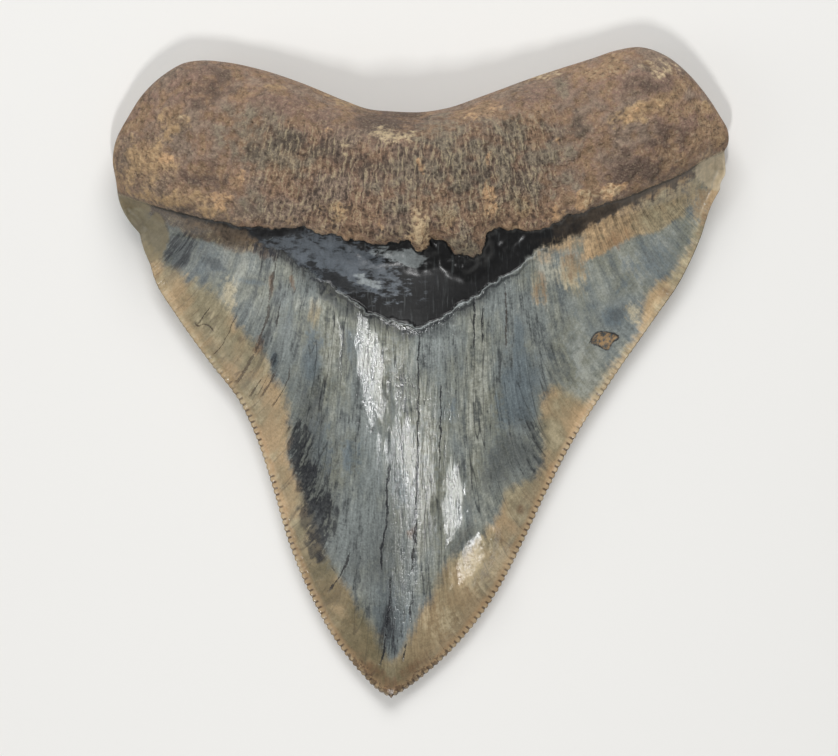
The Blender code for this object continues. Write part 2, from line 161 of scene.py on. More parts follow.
# The enamel's streaks: the level they are followed up to, in steps, and their lean at the edges.
GRAIN_TOP, GRAIN_STEP, GRAIN_STEPS, GRAIN_LEAN = 34.0, 1.5, 60, 1.15

# Noises that bend lines and places: height, size of the lumps and seed of each.
MARGIN_WOBBLE = [(0.7, 2.2, 5.5), (0.3, 0.8, 9.5)]
MARGIN_WOBBLE_CALM, MARGIN_WOBBLE_ENDS = 0.8, (30.0, 44.0)
LIP_WOBBLE = [(0.8, 2.9, 7.5), (0.25, 0.8, 2.5)]
STAIN_WOBBLE_X, STAIN_WOBBLE_Y = [(0.7, 2.4, 21.0)], [(0.9, 2.9, 33.0)]
CRACK_WOBBLE = [(0.28, 2.2, 41.0)]

# Lumps over this level belong to the root, and the others to the enamel.
ROOT_LUMPS_FROM = 20.0
# Raised lumps and sunken pits: x, y, half width, half height, turn in degrees, height.
LUMPS = {
    "tan lump over the band": (-0.2, 28.2, 1.9, 3.4, 5, 0.9),
    "grey lump over the band": (8.6, 25.8, 3.4, 2.6, -10, 0.8),
    "rim of the vessel hole": (-4.5, 46.6, 4.8, 1.8, -15, 0.5),
    "right lobe swelling": (44, 53, 9, 3, 24, 0.35),
    "vessel hole": (-2, 50.6, 3.4, 1.2, 0, -1.1),
    "vessel hole, left": (-12, 48.6, 2.4, 1.4, 20, -0.6),
    "slot one": (16.9, 48.8, 0.45, 1.5, 0, -0.7),
    "slot two": (18.2, 49.2, 0.45, 1.7, 0, -0.7),
    "slot three": (19.6, 49.6, 0.5, 1.5, 0, -0.7),
    "small hole": (24.1, 49.6, 0.8, 0.8, 0, -0.8),
    "slit": (-20.6, 33.8, 1.3, 0.4, 32, -0.7),
    "dent in the dark patch": (44, 40.5, 6.5, 2, 15, -0.35),
    "wrinkle": (13.6, -33.4, 0.8, 2.6, -40, 0.3),
    "wrinkle beside it": (16, -35.6, 0.9, 3, -38, 0.3),
}

# Long worn facets along the crown, which the light picks out: x, y, half width, half length, turn.
FACETS = {
    "left": (-10, 1.5, 3.1, 13, 10),
    "middle": (-2.4, -14.5, 1.4, 8.5, 2),
    "right": (6.6, -26, 3, 9, 0),
    "far left": (-16, 6.5, 0.7, 6.5, 6),
    "wrinkled": (10, -37, 3.6, 6.4, -32),
}
FACET_SLOPE, FACET_FRAY, FACET_EDGE = 0.225, 0.35, (1.3, 0.7)

# ---------------------------------------------------------------- stains

# Each stain: x, y, half width, half height, turn in degrees, strength.
ROOT_STAINS = {
    "warm": [
        (-55.7, 41.6, 6.4, 5.2, 0, 0.85), (-49.1, 49.8, 2.8, 2.8, 0, 0.8), (-29.1, 56.6, 2, 1, -15, 0.7),
        (-46.1, 34.4, 9.2, 2.4, -12, 0.8), (43.9, 52.2, 6.8, 1.6, 24, 1), (51.7, 57, 2.2, 1.2, 50, 0.8),
        (57.1, 53, 1.8, 1.4, 0, 0.7), (54.5, 46.6, 1.4, 2.4, -20, 0.6), (59.7, 47.2, 1.6, 2.2, 0, 0.8),
        (19.9, 33.6, 2.2, 2.8, 0, 0.8), (13.9, 32, 3.2, 1.8, 0, 0.6), (-15.1, 54, 5.6, 0.7, -24, 0.8),
        (5.3, 30.2, 1.8, 2.4, 0, 0.7), (-15.1, 31.6, 8, 2, -8, 0.35),
    ],
    "rust": [
        (-50.3, 42.6, 1.4, 1.2, 0, 0.7), (-36.1, 38.6, 1.2, 2.2, 0, 0.7), (-39.7, 34.6, 2.6, 1.8, 0, 0.7),
        (32.5, 34.2, 1.8, 1.6, 0, 1), (36.9, 36, 1.8, 1.6, 0, 0.9), (40.1, 36.8, 1.6, 0.8, 20, 0.8),
        (26.3, 31.8, 2.8, 1.6, 20, 0.6), (13.5, 34, 1.4, 3.4, 0, 0.8), (27.9, 46.2, 1.6, 0.8, 0, 0.8),
        (15.9, 45.4, 0.8, 0.6, 0, 0.6), (0.1, 40.8, 0.8, 1.4, 0, 0.7), (13.9, 41.6, 0.6, 1.8, 0, 0.6),
        (-17.9, 47.6, 1.2, 1, 0, 0.5), (11.9, 52.2, 4, 1.8, 15, 0.5), (43.9, 52.2, 5.2, 1, 24, 0.5),
        (-8.3, 30.6, 1, 2.8, 0, 0.5), (-0.2, 28.4, 1.9, 3.8, 5, 1),
    ],
    "cool": [
        (-31.7, 46.6, 8, 5.2, -20, 0.8), (-26.1, 42.6, 6.8, 3.6, -10, 0.8),
        (16.9, 42.6, 14.4, 8.8, 0, 0.65), (3.9, 46.6, 5, 4, 0, 0.6), (27.9, 56.6, 1.6, 2, 0, 0.7),
        (17.9, 49, 2.8, 2, 0, 0.8), (8.9, 25.4, 3.4, 2.4, -10, 1), (-33.1, 33.6, 3.2, 2.4, 0, 0.6),
        (4, 36, 14, 7, 0, 0.4),
    ],
    # Some dark spots lie in the vessel hole, the slots, the small hole and the slit, and darken them where
    # they sink in.
    "dark": [
        (-41.1, 57.4, 5.6, 2.6, 50, 0.6), (-42.5, 39, 4.8, 2.4, 0, 0.6), (-7.1, 50, 6.4, 2.8, -10, 0.8),
        (-1.7, 51.4, 3.2, 1.4, 0, 0.9), (16.9, 48.8, 0.4, 1.4, 0, 1), (18.1, 49.2, 0.4, 1.6, 0, 1),
        (19.5, 49.8, 0.5, 1.4, 0, 1), (24.1, 49.6, 0.7, 0.7, 0, 1), (43.9, 40.2, 7.6, 2.2, 15, 1),
        (39.9, 42.6, 3.6, 1.6, 10, 0.6), (48.3, 46.6, 5.2, 2.8, 0, 0.55), (43.9, 57, 4.4, 1.8, 0, 0.5),
        (-23.1, 45.4, 6.4, 1.8, -8, 0.6), (-12.1, 41.6, 6, 2.4, -8, 0.5), (-33.9, 44.6, 1.8, 1.6, 0, 0.9),
        (-20.9, 33.6, 1, 0.4, 30, 1), (30.9, 48.6, 2.4, 2.8, 0, 0.5), (10.9, 35.6, 4, 4, 0, 0.35),
        (-36.1, 55.6, 2, 1.2, 0, 0.4),
    ],
    "light": [
        (-6.5, 47, 3, 1.4, -15, 1), (-15.1, 45.2, 1, 0.7, 0, 1), (-14.7, 43.4, 0.6, 0.6, 0, 0.8),
        (-2.5, 47, 1.8, 1.2, 0, 0.7), (48.3, 60.6, 4, 1.6, -10, 0.5), (23.9, 59.6, 4.4, 1, 18, 0.5),
        (-48.1, 50.6, 1, 0.8, 0, 0.4), (-0.3, 28.4, 1.9, 3.8, 5, 1), (33, 34.4, 1.6, 1.4, 0, 0.6),
        (37.5, 36.2, 2.2, 1.2, 20, 0.6),
    ],
    "dull": [
        (-44, 58, 6, 4, 20, 0.9), (-24, 52, 9, 2.6, -20, 0.9), (-43.5, 39.5, 4, 2.6, 0, 0.8),
        (-56, 54, 3, 4, -30, 0.6), (-36, 47, 3, 2, 0, 0.5), (44, 57.5, 9, 2.4, 10, 0.9),
        (52, 48.5, 6, 3.4, 20, 0.8), (44, 41.5, 9, 3.6, 18, 0.9), (22, 39, 5, 4, 0, 0.6),
        (24, 55, 8, 2.4, 18, 0.7), (-6, 50.5, 8, 2.2, 0, 0.8),
    ],
}
BAND_STAINS = {
    # The band's cool stains mark where a slate-blue is laid: a painted sheen, standing in for light
    # reflected by its glossy black.
    "cool": [(-18.1, 22.2, 15.6, 5.2, -20, 1), (-24.1, 25.6, 4, 2, 0, 0.5)],
    "dark": [
        (-27.5, 28.2, 5.2, 0.9, -5, 1), (-17.1, 18.6, 6.4, 1.4, -27, 1), (-31.7, 27.4, 2.8, 1, -10, 0.8),
    ],
    # The band's light stains are partly painted glints, where its gloss would catch the light.
    "light": [
        (-6.1, 23.6, 3.6, 1.2, -8, 0.55), (-10.1, 18.2, 2.6, 1.2, -15, 0.9), (-1.5, 22.8, 2.4, 1.8, 0, 1),
        (-29.9, 26.8, 1.4, 0.4, 15, 0.9), (-27.9, 23.8, 0.6, 1.2, -20, 0.6),
    ],
    "warm": [(47, 36, 6, 0.8, 27, 0.8)],
}
CROWN_STAINS = {
    "cool": [
        (-48.1, 24, 4.2, 2.4, 55, 1), (-40.7, 21.4, 3, 1, -25, 0.8), (-33.7, 18.2, 2.6, 0.8, -8, 0.9),
        (-29.3, 2.6, 1, 2.2, 0, 1), (-21.5, 2.2, 2, 6, 0, 0.9), (-13.7, 5.6, 2.4, 4, 0, 0.5),
        (19.9, -1.4, 4.2, 6, 0, 1), (19.3, 7.6, 1.6, 3.4, 0, 0.7), (38.7, 11.4, 2.6, 2, 20, 1),
        (46.9, 22.2, 8.8, 4.8, 38, 0.5), (20.7, -7.8, 2.8, 2.8, 0, 0.8), (18.3, -5.8, 3.6, 4.8, 0, 0.8),
        (-20.1, -15.4, 2.6, 7.6, 0, 0.8), (-13.9, -16.4, 2.2, 3.6, 0, 0.6), (-3.9, -23, 1.6, 5.2, 0, 0.6),
        (5.3, -6.8, 2.2, 3.2, 0, 0.4), (-6.5, -50, 3.6, 7.5, 0, 1),
    ],
    "dark": [
        (-23, -18, 2.6, 7, 14, 1), (-20.6, -27, 3.2, 6.4, 8, 1), (-20.9, -34, 1.8, 3.2, 0, 0.9),
        (-24.7, -13.4, 0.8, 4, 0, 0.7), (-20.4, -36.8, 0.6, 1.4, 0, 1), (-48.5, 24.5, 4, 2.4, 55, 0.4),
        (-29.7, 23.8, 1.8, 1.8, 0, 0.6), (-6.2, -52, 1.4, 5, 0, 0.5), (-29, 2.6, 1, 1.6, 0, 0.5),
    ],
    "dull": [
        (14.7, -20.4, 3, 3, 0, 0.7), (-7.1, -37.4, 4.4, 12, 0, 0.6), (-6.5, -51.5, 2.6, 5, 0, 1),
        (-13.7, -37.4, 2.2, 6, 0, 0.6), (-16.1, 13.6, 6.4, 1.2, -38, 0.9), (1.9, 8, 5.2, 1.2, 0, 0.8),
        (-22, -8, 2.4, 6, 10, 0.8), (19, -16, 4.5, 3.5, 0, 0.9), (-48.5, 24, 5, 3.2, 55, 1),
        (-41.5, 22, 3, 0.9, -25, 0.9), (39.5, 12, 2.4, 1.2, 25, 0.8), (-21.5, -24, 4.5, 14, 8, 0.9),
    ],
    # Some light stains lie under the crown's highlights, on its left and right facets and its wrinkled facet
    # near the tip: there they are partly a painted highlight.
    "light": [
        (28, 19.5, 4, 3, 0, 0.6), (-38.2, 15.8, 1.4, 3.2, 0, 1), (-24, 13.8, 0.8, 1.4, 0, 1),
        (-22.1, 14.6, 2.8, 2, 0, 0.4), (-9.7, 2.6, 2.8, 8, 0, 0.5), (7.1, -25.4, 2.4, 8, 0, 0.4),
        (43, 12.4, 2, 2, 0, 0.7), (12, -38.5, 5, 5, 20, 1), (15, -37, 3.5, 3.5, 0, 1),
        (4, -50, 3.5, 4, 30, 0.6),
    ],
    "warm": [
        (-21.1, 12, 1.2, 2.8, 0, 0.8), (26.5, -6.4, 2.6, 4, 0, 1), (23.5, 17, 1.6, 3.6, 0, 0.5),
        (30.5, 19.5, 3, 3.6, 0, 0.6), (49, 33.5, 6, 2.4, 33, 0.8), (-6, -62, 6.5, 4, 0, 1),
        (13, -38, 5, 4.5, 30, 0.9), (56.5, 33.5, 2, 4, -18, 1), (54.5, 36.5, 3, 2.2, 30, 1),
        (49.3, 16.2, 2.2, 2.4, 0, 0.8), (-44, 17, 4.5, 2, -30, 0.5), (-51, 17, 3, 3, -40, 0.8),
    ],
    "rust": [
        (-30.3, 23.8, 1.8, 1.6, 0, 1), (-25.5, 18.4, 0.6, 1.6, 0, 1), (-29.7, 18, 0.6, 2, 0, 0.8),
        (-32.3, 5.4, 1, 2, -20, 1), (38.5, 26.5, 4, 2, 33, 0.6), (24, 17, 1.2, 3, 0, 0.4),
        (30.5, 21, 2.6, 3, 0, 0.4), (56.5, 35, 1.6, 2.6, -18, 0.5), (49.5, 16, 1.8, 1.4, 0, 0.6),
        (-1.5, -31.4, 0.8, 1.4, 0, 1), (20.1, -27.2, 1, 1, 0, 1), (-9.7, -59.2, 3.6, 1.4, -45, 0.8),
        (-1.5, -59.2, 4, 1.2, 38, 0.8), (-5.9, -63, 1.8, 1.6, 0, 0.8), (57.5, 31.6, 1, 5.2, -18, 0.6),
    ],
}
LIP_SIDE_STAINS = {
    "warm": [
        (-50, 45, 9, 7, 0, 0.7), (46, 52, 8, 5, 0, 0.8), (10, 38, 7, 4, 0, 0.5), (-20, 34, 8, 3, 0, 0.5),
        (30, 10, 6, 8, 10, 0.6), (-6, -52, 6, 8, 0, 0.6),
    ],
    "rust": [(-36, 50, 4, 3, 0, 0.7), (24, 46, 3, 5, 0, 0.6), (52, 40, 3, 4, 0, 0.7)],
    "cool": [
        (-8, 44, 8, 5, 0, 0.7), (28, 40, 7, 5, 0, 0.6), (-18, 6, 7, 12, 5, 0.8), (12, -8, 6, 14, -4, 0.7),
        (-2, -30, 4, 9, 0, 0.6),
    ],
    "dark": [
        (38, 50, 6, 3, 0, 0.6), (-26, 42, 6, 3, 0, 0.5), (-12, 18, 9, 2, 4, 0.5), (16, 12, 4, 6, 0, 0.5),
        (-16, -16, 3, 8, 8, 0.7),
    ],
    "light": [(-52, 54, 4, 3, 0, 0.5), (0, 2, 5, 12, 0, 0.4), (8, 47, 4, 2, 0, 0.5)],
}
STAIN_KINDS = ("warm", "rust", "cool", "dark", "light", "dull")

# Cracks as lines, from end to end: (half width, share of rust in its colour, points). Lines in one
# group stay well apart from each other, because each group shares one field.
CRACK_GROUPS = [
    [
        (0.26, 0.9, [
            (-28.5, 23.4), (-29.3, 19.6), (-29.7, 16.6), (-30.1, 14.2), (-30.7, 10.4), (-31.7, 7.6),
            (-32.3, 5.6), (-33.3, 3.6), (-34.7, 1.4), (-36.1, -0.8), (-37.7, -2.4),
        ]),
        (0.14, 0.8, [(-45.5, 10.6), (-44.7, 9.4), (-43.5, 9.8), (-42.1, 9.2), (-41.3, 7.8)]),
        (0.13, 0, [(0.1, 8.4), (-0.3, 5.6), (-0.3, -2.4), (-0.5, -10.4), (-0.7, -19.4), (-0.9, -26.4)]),
        (0.2, 0, [
            (-6.1, -17.8), (-6.7, -23.4), (-6.7, -25.6), (-6.9, -30.8), (-7.7, -35), (-7.9, -40.4),
        ]),
        (0.16, 0, [(10.7, 15), (10.7, 4.6)]),
        (0.18, 0.9, [(16.9, 16.8), (17.1, 10.6), (17.1, 4.8)]),
        (0.2, 0.1, [(-14.1, -35.6), (-14.9, -38.2), (-15.9, -40), (-17.5, -42.6), (-18.7, -44.2)]),
        (0.18, 0.1, [(-2.9, -53.8), (-3.5, -58)]),
        (0.1, 0, [(3.3, 22.2), (3.1, 17)]),
    ],
    [
        (0.1, 0.8, [(-44.7, 9.6), (-43.5, 11.4), (-41.9, 13.6)]),
        (0.2, 0.2, [(-0.7, -29.2), (-1.1, -33.4), (-1.5, -36.6), (-1.7, -40)]),
        (0.2, 0, [
            (-5.9, -40.4), (-6.1, -44.4), (-6.5, -48.2), (-6.9, -52.4), (-7.5, -56.4), (-8.1, -59),
        ]),
        (0.16, 0, [(-1.9, -45.4), (-2.1, -49.8)]),
        (0.14, 0, [(3.9, -1.4), (4.1, -11.4), (3.7, -19.4)]),
        (0.16, 0.1, [(-17.9, -38.6), (-17.1, -40.2)]),
        (0.14, 0, [(12.4, 13.4), (12.2, 5.6)]),
        (0.12, 0.4, [(-27.7, 14.6), (-28.9, 8.6)]),
        (0.22, 0.8, [(-28.7, 0.6), (-30.3, -2.4), (-32.3, -5.2)]),
        (0.18, 0.9, [(-31.6, -0.6), (-33.2, -3.2), (-34.9, -5.2)]),
        (0.12, 0.9, [(-25.9, 1.4), (-26.5, -1.4), (-28.1, -4.4), (-30, -7.2)]),
        (0.07, 0.9, [(-36.5, 12.4), (-38, 8.8), (-40.2, 5.2), (-42, 3.2)]),
    ],
]
CRACK_REACH, CRACK_TAPER = 1.4, 1.2

# Flat facets where flakes have broken away at the shoulders, and one pit in the enamel.
RIGHT_FLAKE = [
    (54.5, 40.4), (55.9, 42.2), (58, 43.3), (61, 44.4), (63, 41.6), (62.6, 38.4), (60.1, 36.6),
    (58.1, 37.1), (56.5, 38.1), (55.3, 39.2),
]
LEFT_FLAKE = [
    (-62.3, 36.8), (-57.1, 35), (-53.9, 33.4), (-54.3, 31.2), (-55.3, 29.6), (-57.9, 27.6), (-62.1, 33),
]
LEFT_FACET = [(-57.3, 28.8), (-54.6, 31.2), (-53.1, 32.4), (-50.3, 27.6), (-52.9, 22.6), (-56.5, 22.4)]
ENAMEL_PIT = [(33.9, 6), (35.1, 8), (37.5, 8.2), (39.9, 7.2), (38.5, 6), (37.7, 4.6), (35.5, 5.6)]
# Each: its corners, its depth and how far in from its edge that depth is reached.
BREAKS = [
    (LEFT_FLAKE, 0.9, 2.4), (RIGHT_FLAKE, 0.9, 2.4), (LEFT_FACET, 0.35, 1.5), (ENAMEL_PIT, 0.4, 0.5),
]
BREAK_EDGE = 0.15
# How far off a line or a flake is put where a face has none.
FAR_OFF = 9.0

# ---------------------------------------------------------------- zones of colour

# Each span says where a zone begins and where it is in full. The ridges' tint: to both sides of
# their middle, and up from the root's lower edge.
RIDGE_TINT_ASIDE, RIDGE_TINT_UP, RIDGE_TINT_FROM_MARGIN = (37.0, 22.0), (25.0, 17.0), (0.0, 1.5)
# These run along X:
RIGHTWARD = (-10.0, 10.0)
LEFT_END, RIGHT_END = (-33.0, -38.0), (22.0, 32.0)
# Where the lip is crisp and carries its painted glint and painted shadow line:
LIP_GLINT_FROM_LEFT, LIP_GLINT_FROM_RIGHT = (-20.0, -12.0), (26.0, 18.0)
SHADED_FROM_LEFT, SHADED_FROM_RIGHT = (-37.0, -30.0), (24.0, 12.0)
RAGGED_FROM_LEFT = (-37.0, -31.0)
PALER_BONE, BROWN_BAND, OLIVE_SHOULDER, TIP_MIDDLE = (5.0, 45.0), (24.0, 34.0), (41.0, 47.0), (-9.0, 4.0)
# These run along Y, and the tip's zone leans by a length from left to right:
SHARP_LEVELS, TIP_LEVELS, OLIVE_LEVELS = (24.0, 12.0), (-26.0, -40.0), (1.0, 14.0)
ORANGE_RIM_LEVELS, NOTCH_LEVELS, SPECKLE_LEVELS = (2.0, -14.0), (8.0, -12.0), (-52.0, -58.0)
TIP_LEAN = 10.0
# Strips under the enamel's lip: strength, span below the lip and spans along X.
# The painted shade under the lip: how far below the lip it reaches.
SHADED_DEPTH = (4.2, 0.2)
SHOULDER_STRIP = (1.0, (7.0, 4.6), (30.0, 35.0), (58.0, 50.0))
SHOULDER_START = (0.6, (6.0, 0.5), (20.0, 28.0))
LEFT_STRIP = (0.8, (3.0, 0.6), (-26.0, -34.0))

# ---------------------------------------------------------------- mesh spacing

TONGUE_SPACING, LIP_SPACING = 0.46, 0.85
POINTS_PER_SERRATION = 6
CROWN_RINGS = (0.24, 0.52, 0.86, 1.28)
CHIP_SPACING, ROOT_RIM_SPACING = 0.40, 0.55
ROOT_RINGS = (0.06, 0.20, 0.42, 0.75, 1.20, 1.75)
LEDGE_SPACING = 0.40
LEDGE_ROWS = (-0.95, -0.55, -0.30, -0.08, 0.14, 0.36, 0.70)
# Least distances between points, the last as a share of a grid's spacing, and from the rim.
ROW_GAP, RIM_GAP, LEDGE_GAP, GRID_GAP = 0.13, 0.05, 0.17, 0.62
ROWS_IN, LEDGES_IN, TONGUE_GRID_IN, LIP_GRID_IN = 0.04, 1.9, 1.5, 1.7
# Points between two given ones of an outline or zone line, of a plainer line and of a crack.
CURVE_STEPS, PLAIN_STEPS, CRACK_STEPS = 8, 4, 3
# How the plan is filled: the triangles inside the rim alone, with points this close made one.
FILL_INSIDE, WELD = 1, 1e-5


def srgb(red, green, blue):
    """Linear colour from the 0 to 255 values of a colour picker."""
    def linear(value):
        value /= 255
        return value / 12.92 if value <= 0.04045 else ((value + 0.055) / 1.055) ** 2.4

    return (linear(red), linear(green), linear(blue))


def colour(name, description, red, green, blue):
    """A colour that the user can change."""
    return FloatVectorProperty(
        name=name, description=description, subtype="COLOR", size=3, min=0, max=1,
        default=srgb(red, green, blue),
    )


def length(name, description, default, highest):
    """A length in millimetres that the user can change."""
    return FloatProperty(
        name=name, description=description, default=default, min=0, max=highest, precision=3,
    )


class ToothRelief(PropertyGroup):
    """Heights of the tooth's fine relief, in millimetres."""

    root_lumps: length("Root lumps", "Height of the root's broad lumps", 0.70, 3)
    root_grain: length("Root grain", "Height of the root's small lumps", 0.20, 1)
    root_ridges: length("Root ridges", "Height of the upright ridges on the root", 0.26, 1)
    margin_lumps: length("Margin lumps", "Height of the lumps along the root's lower edge", 0.55, 2)
    flutes: length("Flutes", "Height of the fine flutes in the enamel", 0.06, 1)
    serration_grooves: length("Serration grooves", "Depth of the groove behind each notch", 0.03, 0.5)


class ToothColours(PropertyGroup):
    """Colours of the tooth's zones and stains."""

    bone: colour("Bone", "Root, most of it", 137, 109, 91)
    bone_grey: colour("Grey bone", "Root, the greyer half of its mottle", 130, 112, 97)
    bone_warm: colour("Ochre", "Root, ochre stains", 168, 139, 102)
    bone_rust: colour("Orange", "Root, orange stains", 184, 148, 111)
    bone_mauve: colour("Mauve brown", "Root, purple-brown stains", 122, 97, 84)
    bone_cool: colour("Moss grey", "Root, grey-green stains", 122, 114, 97)
    # Also painted shade in the gaps between the root's ridges and lumps.
    bone_dark: colour("Umber", "Root, dark stains", 62, 50, 43)
    # Also a painted highlight on the tops of the root's lumps and ridges.
    bone_crest: colour("Crest", "Root, crests of the upright ridges", 176, 160, 130)
    bone_light: colour("Pale bone", "Root, pale spots", 192, 172, 138)
    # Also the painted shadow under the root's lower edge.
    band: colour("Band", "The sunken band, where it is black", 12, 12, 13)
    # A painted sheen: slate-blue that stands in for light reflected by the band's glossy black.
    band_sheen_slate: colour("Band slate", "The band's slate-blue part", 82, 88, 94)
    band_warm: colour("Band brown", "The band's brown ends", 102, 88, 73)
    # Also the painted glints on the band and along the lip.
    band_pale_and_glint: colour("Band polish", "Pale worn patches of the band", 146, 152, 152)
    enamel: colour("Enamel", "Enamel, most of it", 124, 130, 128)
    enamel_green: colour("Green enamel", "Enamel, its greener half", 126, 127, 114)
    enamel_pale: colour("Pale enamel", "Enamel, pale streaks", 166, 168, 160)
    enamel_dark: colour("Dark enamel", "Enamel, dark streaks", 82, 86, 86)
    enamel_warm: colour("Tan", "Enamel, tan zones along the edges", 172, 149, 116)
    enamel_olive: colour("Olive", "Enamel, the tan zones' olive half", 138, 129, 104)
    tip_olive: colour("Tip olive", "Enamel, the left side of the tip", 106, 98, 74)
    enamel_cool: colour("Slate blue", "Enamel, blue stains", 92, 103, 109)
    enamel_rosy: colour("Rosy tan", "Enamel, under the band's right end", 168, 142, 108)
    enamel_rust: colour("Rust", "Enamel, rust stains", 106, 76, 52)
    # Also the painted shade and the painted shadow line under the lip.
    enamel_black: colour("Blue black", "Enamel, dark stains and cracks", 30, 32, 37)
    enamel_cream: colour("Cream", "Enamel, cream spots and the worn edge", 196, 182, 150)
    edge_notch: colour("Notch", "The dark notches of the cutting edge", 62, 46, 36)
    flake: colour("Flake", "The flake broken from the right shoulder", 198, 184, 157)
    facet: colour("Facet", "The flakes broken from the left shoulder", 136, 124, 96)


# ---------------------------------------------------------------- plan geometry


def smooth_curve(points, steps=CURVE_STEPS):
    """A dense curve through the points, with the tangents of a Catmull-Rom spline."""
    p = np.array(points, float)
    chord = np.maximum(np.linalg.norm(np.diff(p, axis=0), axis=1), 1e-9)
    knots = np.concatenate([[0.0], np.cumsum(chord)])
    slopes = np.gradient(p, knots, axis=0)
    t = np.linspace(0, 1, steps, endpoint=False)[:, None]
    pieces = []
    for i, size in enumerate(chord):
        a, b, ta, tb = p[i], p[i + 1], slopes[i] * size, slopes[i + 1] * size
        pieces.append(
            (2 * t**3 - 3 * t**2 + 1) * a + (t**3 - 2 * t**2 + t) * ta
            + (3 * t**2 - 2 * t**3) * b + (t**3 - t**2) * tb
        )
    return np.concatenate(pieces + [p[-1:]])


def run_length(line):
    """Length of a line of points."""
    return np.linalg.norm(np.diff(line, axis=0), axis=1).sum()


def divided(line, count):
    """The ends of a number of equal steps along a line."""
    run = np.concatenate([[0.0], np.cumsum(np.linalg.norm(np.diff(line, axis=0), axis=1))])
    at = np.linspace(0, run[-1], count + 1)
    return np.column_stack([np.interp(at, run, line[:, k]) for k in (0, 1)])


def leftward(line):
    """Unit normals on the left of a line; the outline has its inside on the left."""
    along = np.gradient(line, axis=0)
    along /= np.linalg.norm(along, axis=1)[:, None]
    return np.column_stack([-along[:, 1], along[:, 0]])


def follow(p, line):
    """For each point its distance to a line, the side it is on (1 is left) and how far along it lies."""
    nearest, side, at = np.full(len(p), np.inf), np.zeros(len(p)), np.zeros(len(p))
    run = 0.0
    for start, step in zip(line[:-1], np.diff(line, axis=0)):
        size = math.hypot(*step)
        along = np.clip(((p - start) @ step) / size**2, 0, 1)
        away = p - start - along[:, None] * step
        square = away[:, 0] ** 2 + away[:, 1] ** 2
        closer = square < nearest
        nearest[closer] = square[closer]
        at[closer] = run + along[closer] * size
        side[closer] = np.sign(step[0] * away[closer, 1] - step[1] * away[closer, 0])
        run += size
    return np.sqrt(nearest), side, at


def above(p, line):
    """Signed distance to a line that runs from left to right, positive on its +Y side."""
    side = np.where(p[:, 1] > np.interp(p[:, 0], line[:, 0], line[:, 1]), 1.0, -1.0)
    return side * follow(p, line)[0]


def enclosed(p, loop):
    """Whether each point lies in a closed loop, by counting the crossings to its right."""
    inside = np.zeros(len(p), bool)
    for (x0, y0), (x1, y1) in zip(loop, np.roll(loop, -1, axis=0)):
        if y0 != y1:
            crosses = (y0 > p[:, 1]) != (y1 > p[:, 1])
            inside ^= crosses & (p[:, 0] < x0 + (p[:, 1] - y0) * (x1 - x0) / (y1 - y0))
    return inside


def within(p, corners):
    """Signed distance to a polygon's edge, positive inside."""
    loop = smooth_curve([*corners, corners[0]], PLAIN_STEPS)[:-1]
    distance = follow(p, np.vstack([loop, loop[:1]]))[0]
    return np.where(enclosed(p, loop), distance, -distance)


def smoothstep(low, high, value):
    """Zero at low and one at high, smooth between them; low may be the larger."""
    t = np.clip((value - low) / (high - low), 0, 1)
    return t * t * (3 - 2 * t)


def by_station(stations, y):
    """The value at each place of a smooth curve through stations."""
    curve = smooth_curve(stations)
    return np.interp(y, curve[:, 0], curve[:, 1])


def lumps(p, size, seed, stretch=1.0, octaves=2):
    """Smooth noise from about -1 to 1, in lumps of a given size, drawn out along Y by stretch."""
    return np.array([
        noise.fractal(Vector((x / size, y / size / stretch, seed)), 0.9, 2.0, octaves) for x, y in p.tolist()
    ])


def wobble(p, noises):
    """The sum of some noises, each with its height, the size of its lumps and its seed."""
    return sum(height * lumps(p, size, seed) for height, size, seed in noises)


def padded(values):
    """The same places or shifts with one more coordinate, of zero."""
    return np.column_stack([values, np.zeros(len(values))])


def ellipse(p, x, y, half_width, half_height, turn):
    """Zero in the middle of an ellipse and one on its line."""
    c, s = math.cos(math.radians(turn)), math.sin(math.radians(turn))
    u = ((p[:, 0] - x) * c + (p[:, 1] - y) * s) / half_width
    v = ((p[:, 1] - y) * c - (p[:, 0] - x) * s) / half_height
    return np.hypot(u, v)


def blob(p, *shape):
    """One in the middle of an ellipse, falling smoothly to zero outside it."""
    return 1 - smoothstep(0.2, 1.6, ellipse(p, *shape))


# ---------------------------------------------------------------- form


class Outline:
    """The tooth's outline and the lines on its faces."""

    def __init__(self):
        self.runs = [smooth_curve(r) for r in (RIGHT_EDGE, RIGHT_CHIP, ROOT_TOP, LEFT_NOTCH, LEFT_EDGE)]
        right, chip, root, notch, left = self.runs
        self.loop = np.concatenate([run[:-1] for run in self.runs])
        self.closed = np.vstack([self.loop, self.loop[:1]])
        self.right = np.concatenate([right, chip])
        self.left = np.concatenate([root[root[:, 0] < LEFT_SHOULDER], notch, left])
        self.right = self.right[np.argsort(self.right[:, 1])]
        self.left = self.left[np.argsort(self.left[:, 1])]
        self.margin, self.lip = smooth_curve(ROOT_MARGIN), smooth_curve(ENAMEL_LIP)
        self.lip_side_margin = smooth_curve(LIP_SIDE_MARGIN)
        self.tan = smooth_curve(TAN_LIMIT, PLAIN_STEPS)

    def across(self, p):
        """-1 on the crown's left edge, 1 on its right edge."""
        left = np.interp(p[:, 1], self.left[:, 1], self.left[:, 0])
        right = np.interp(p[:, 1], self.right[:, 1], self.right[:, 0])
        return np.clip((2 * p[:, 0] - left - right) / np.maximum(right - left, 0.01), -1, 1)


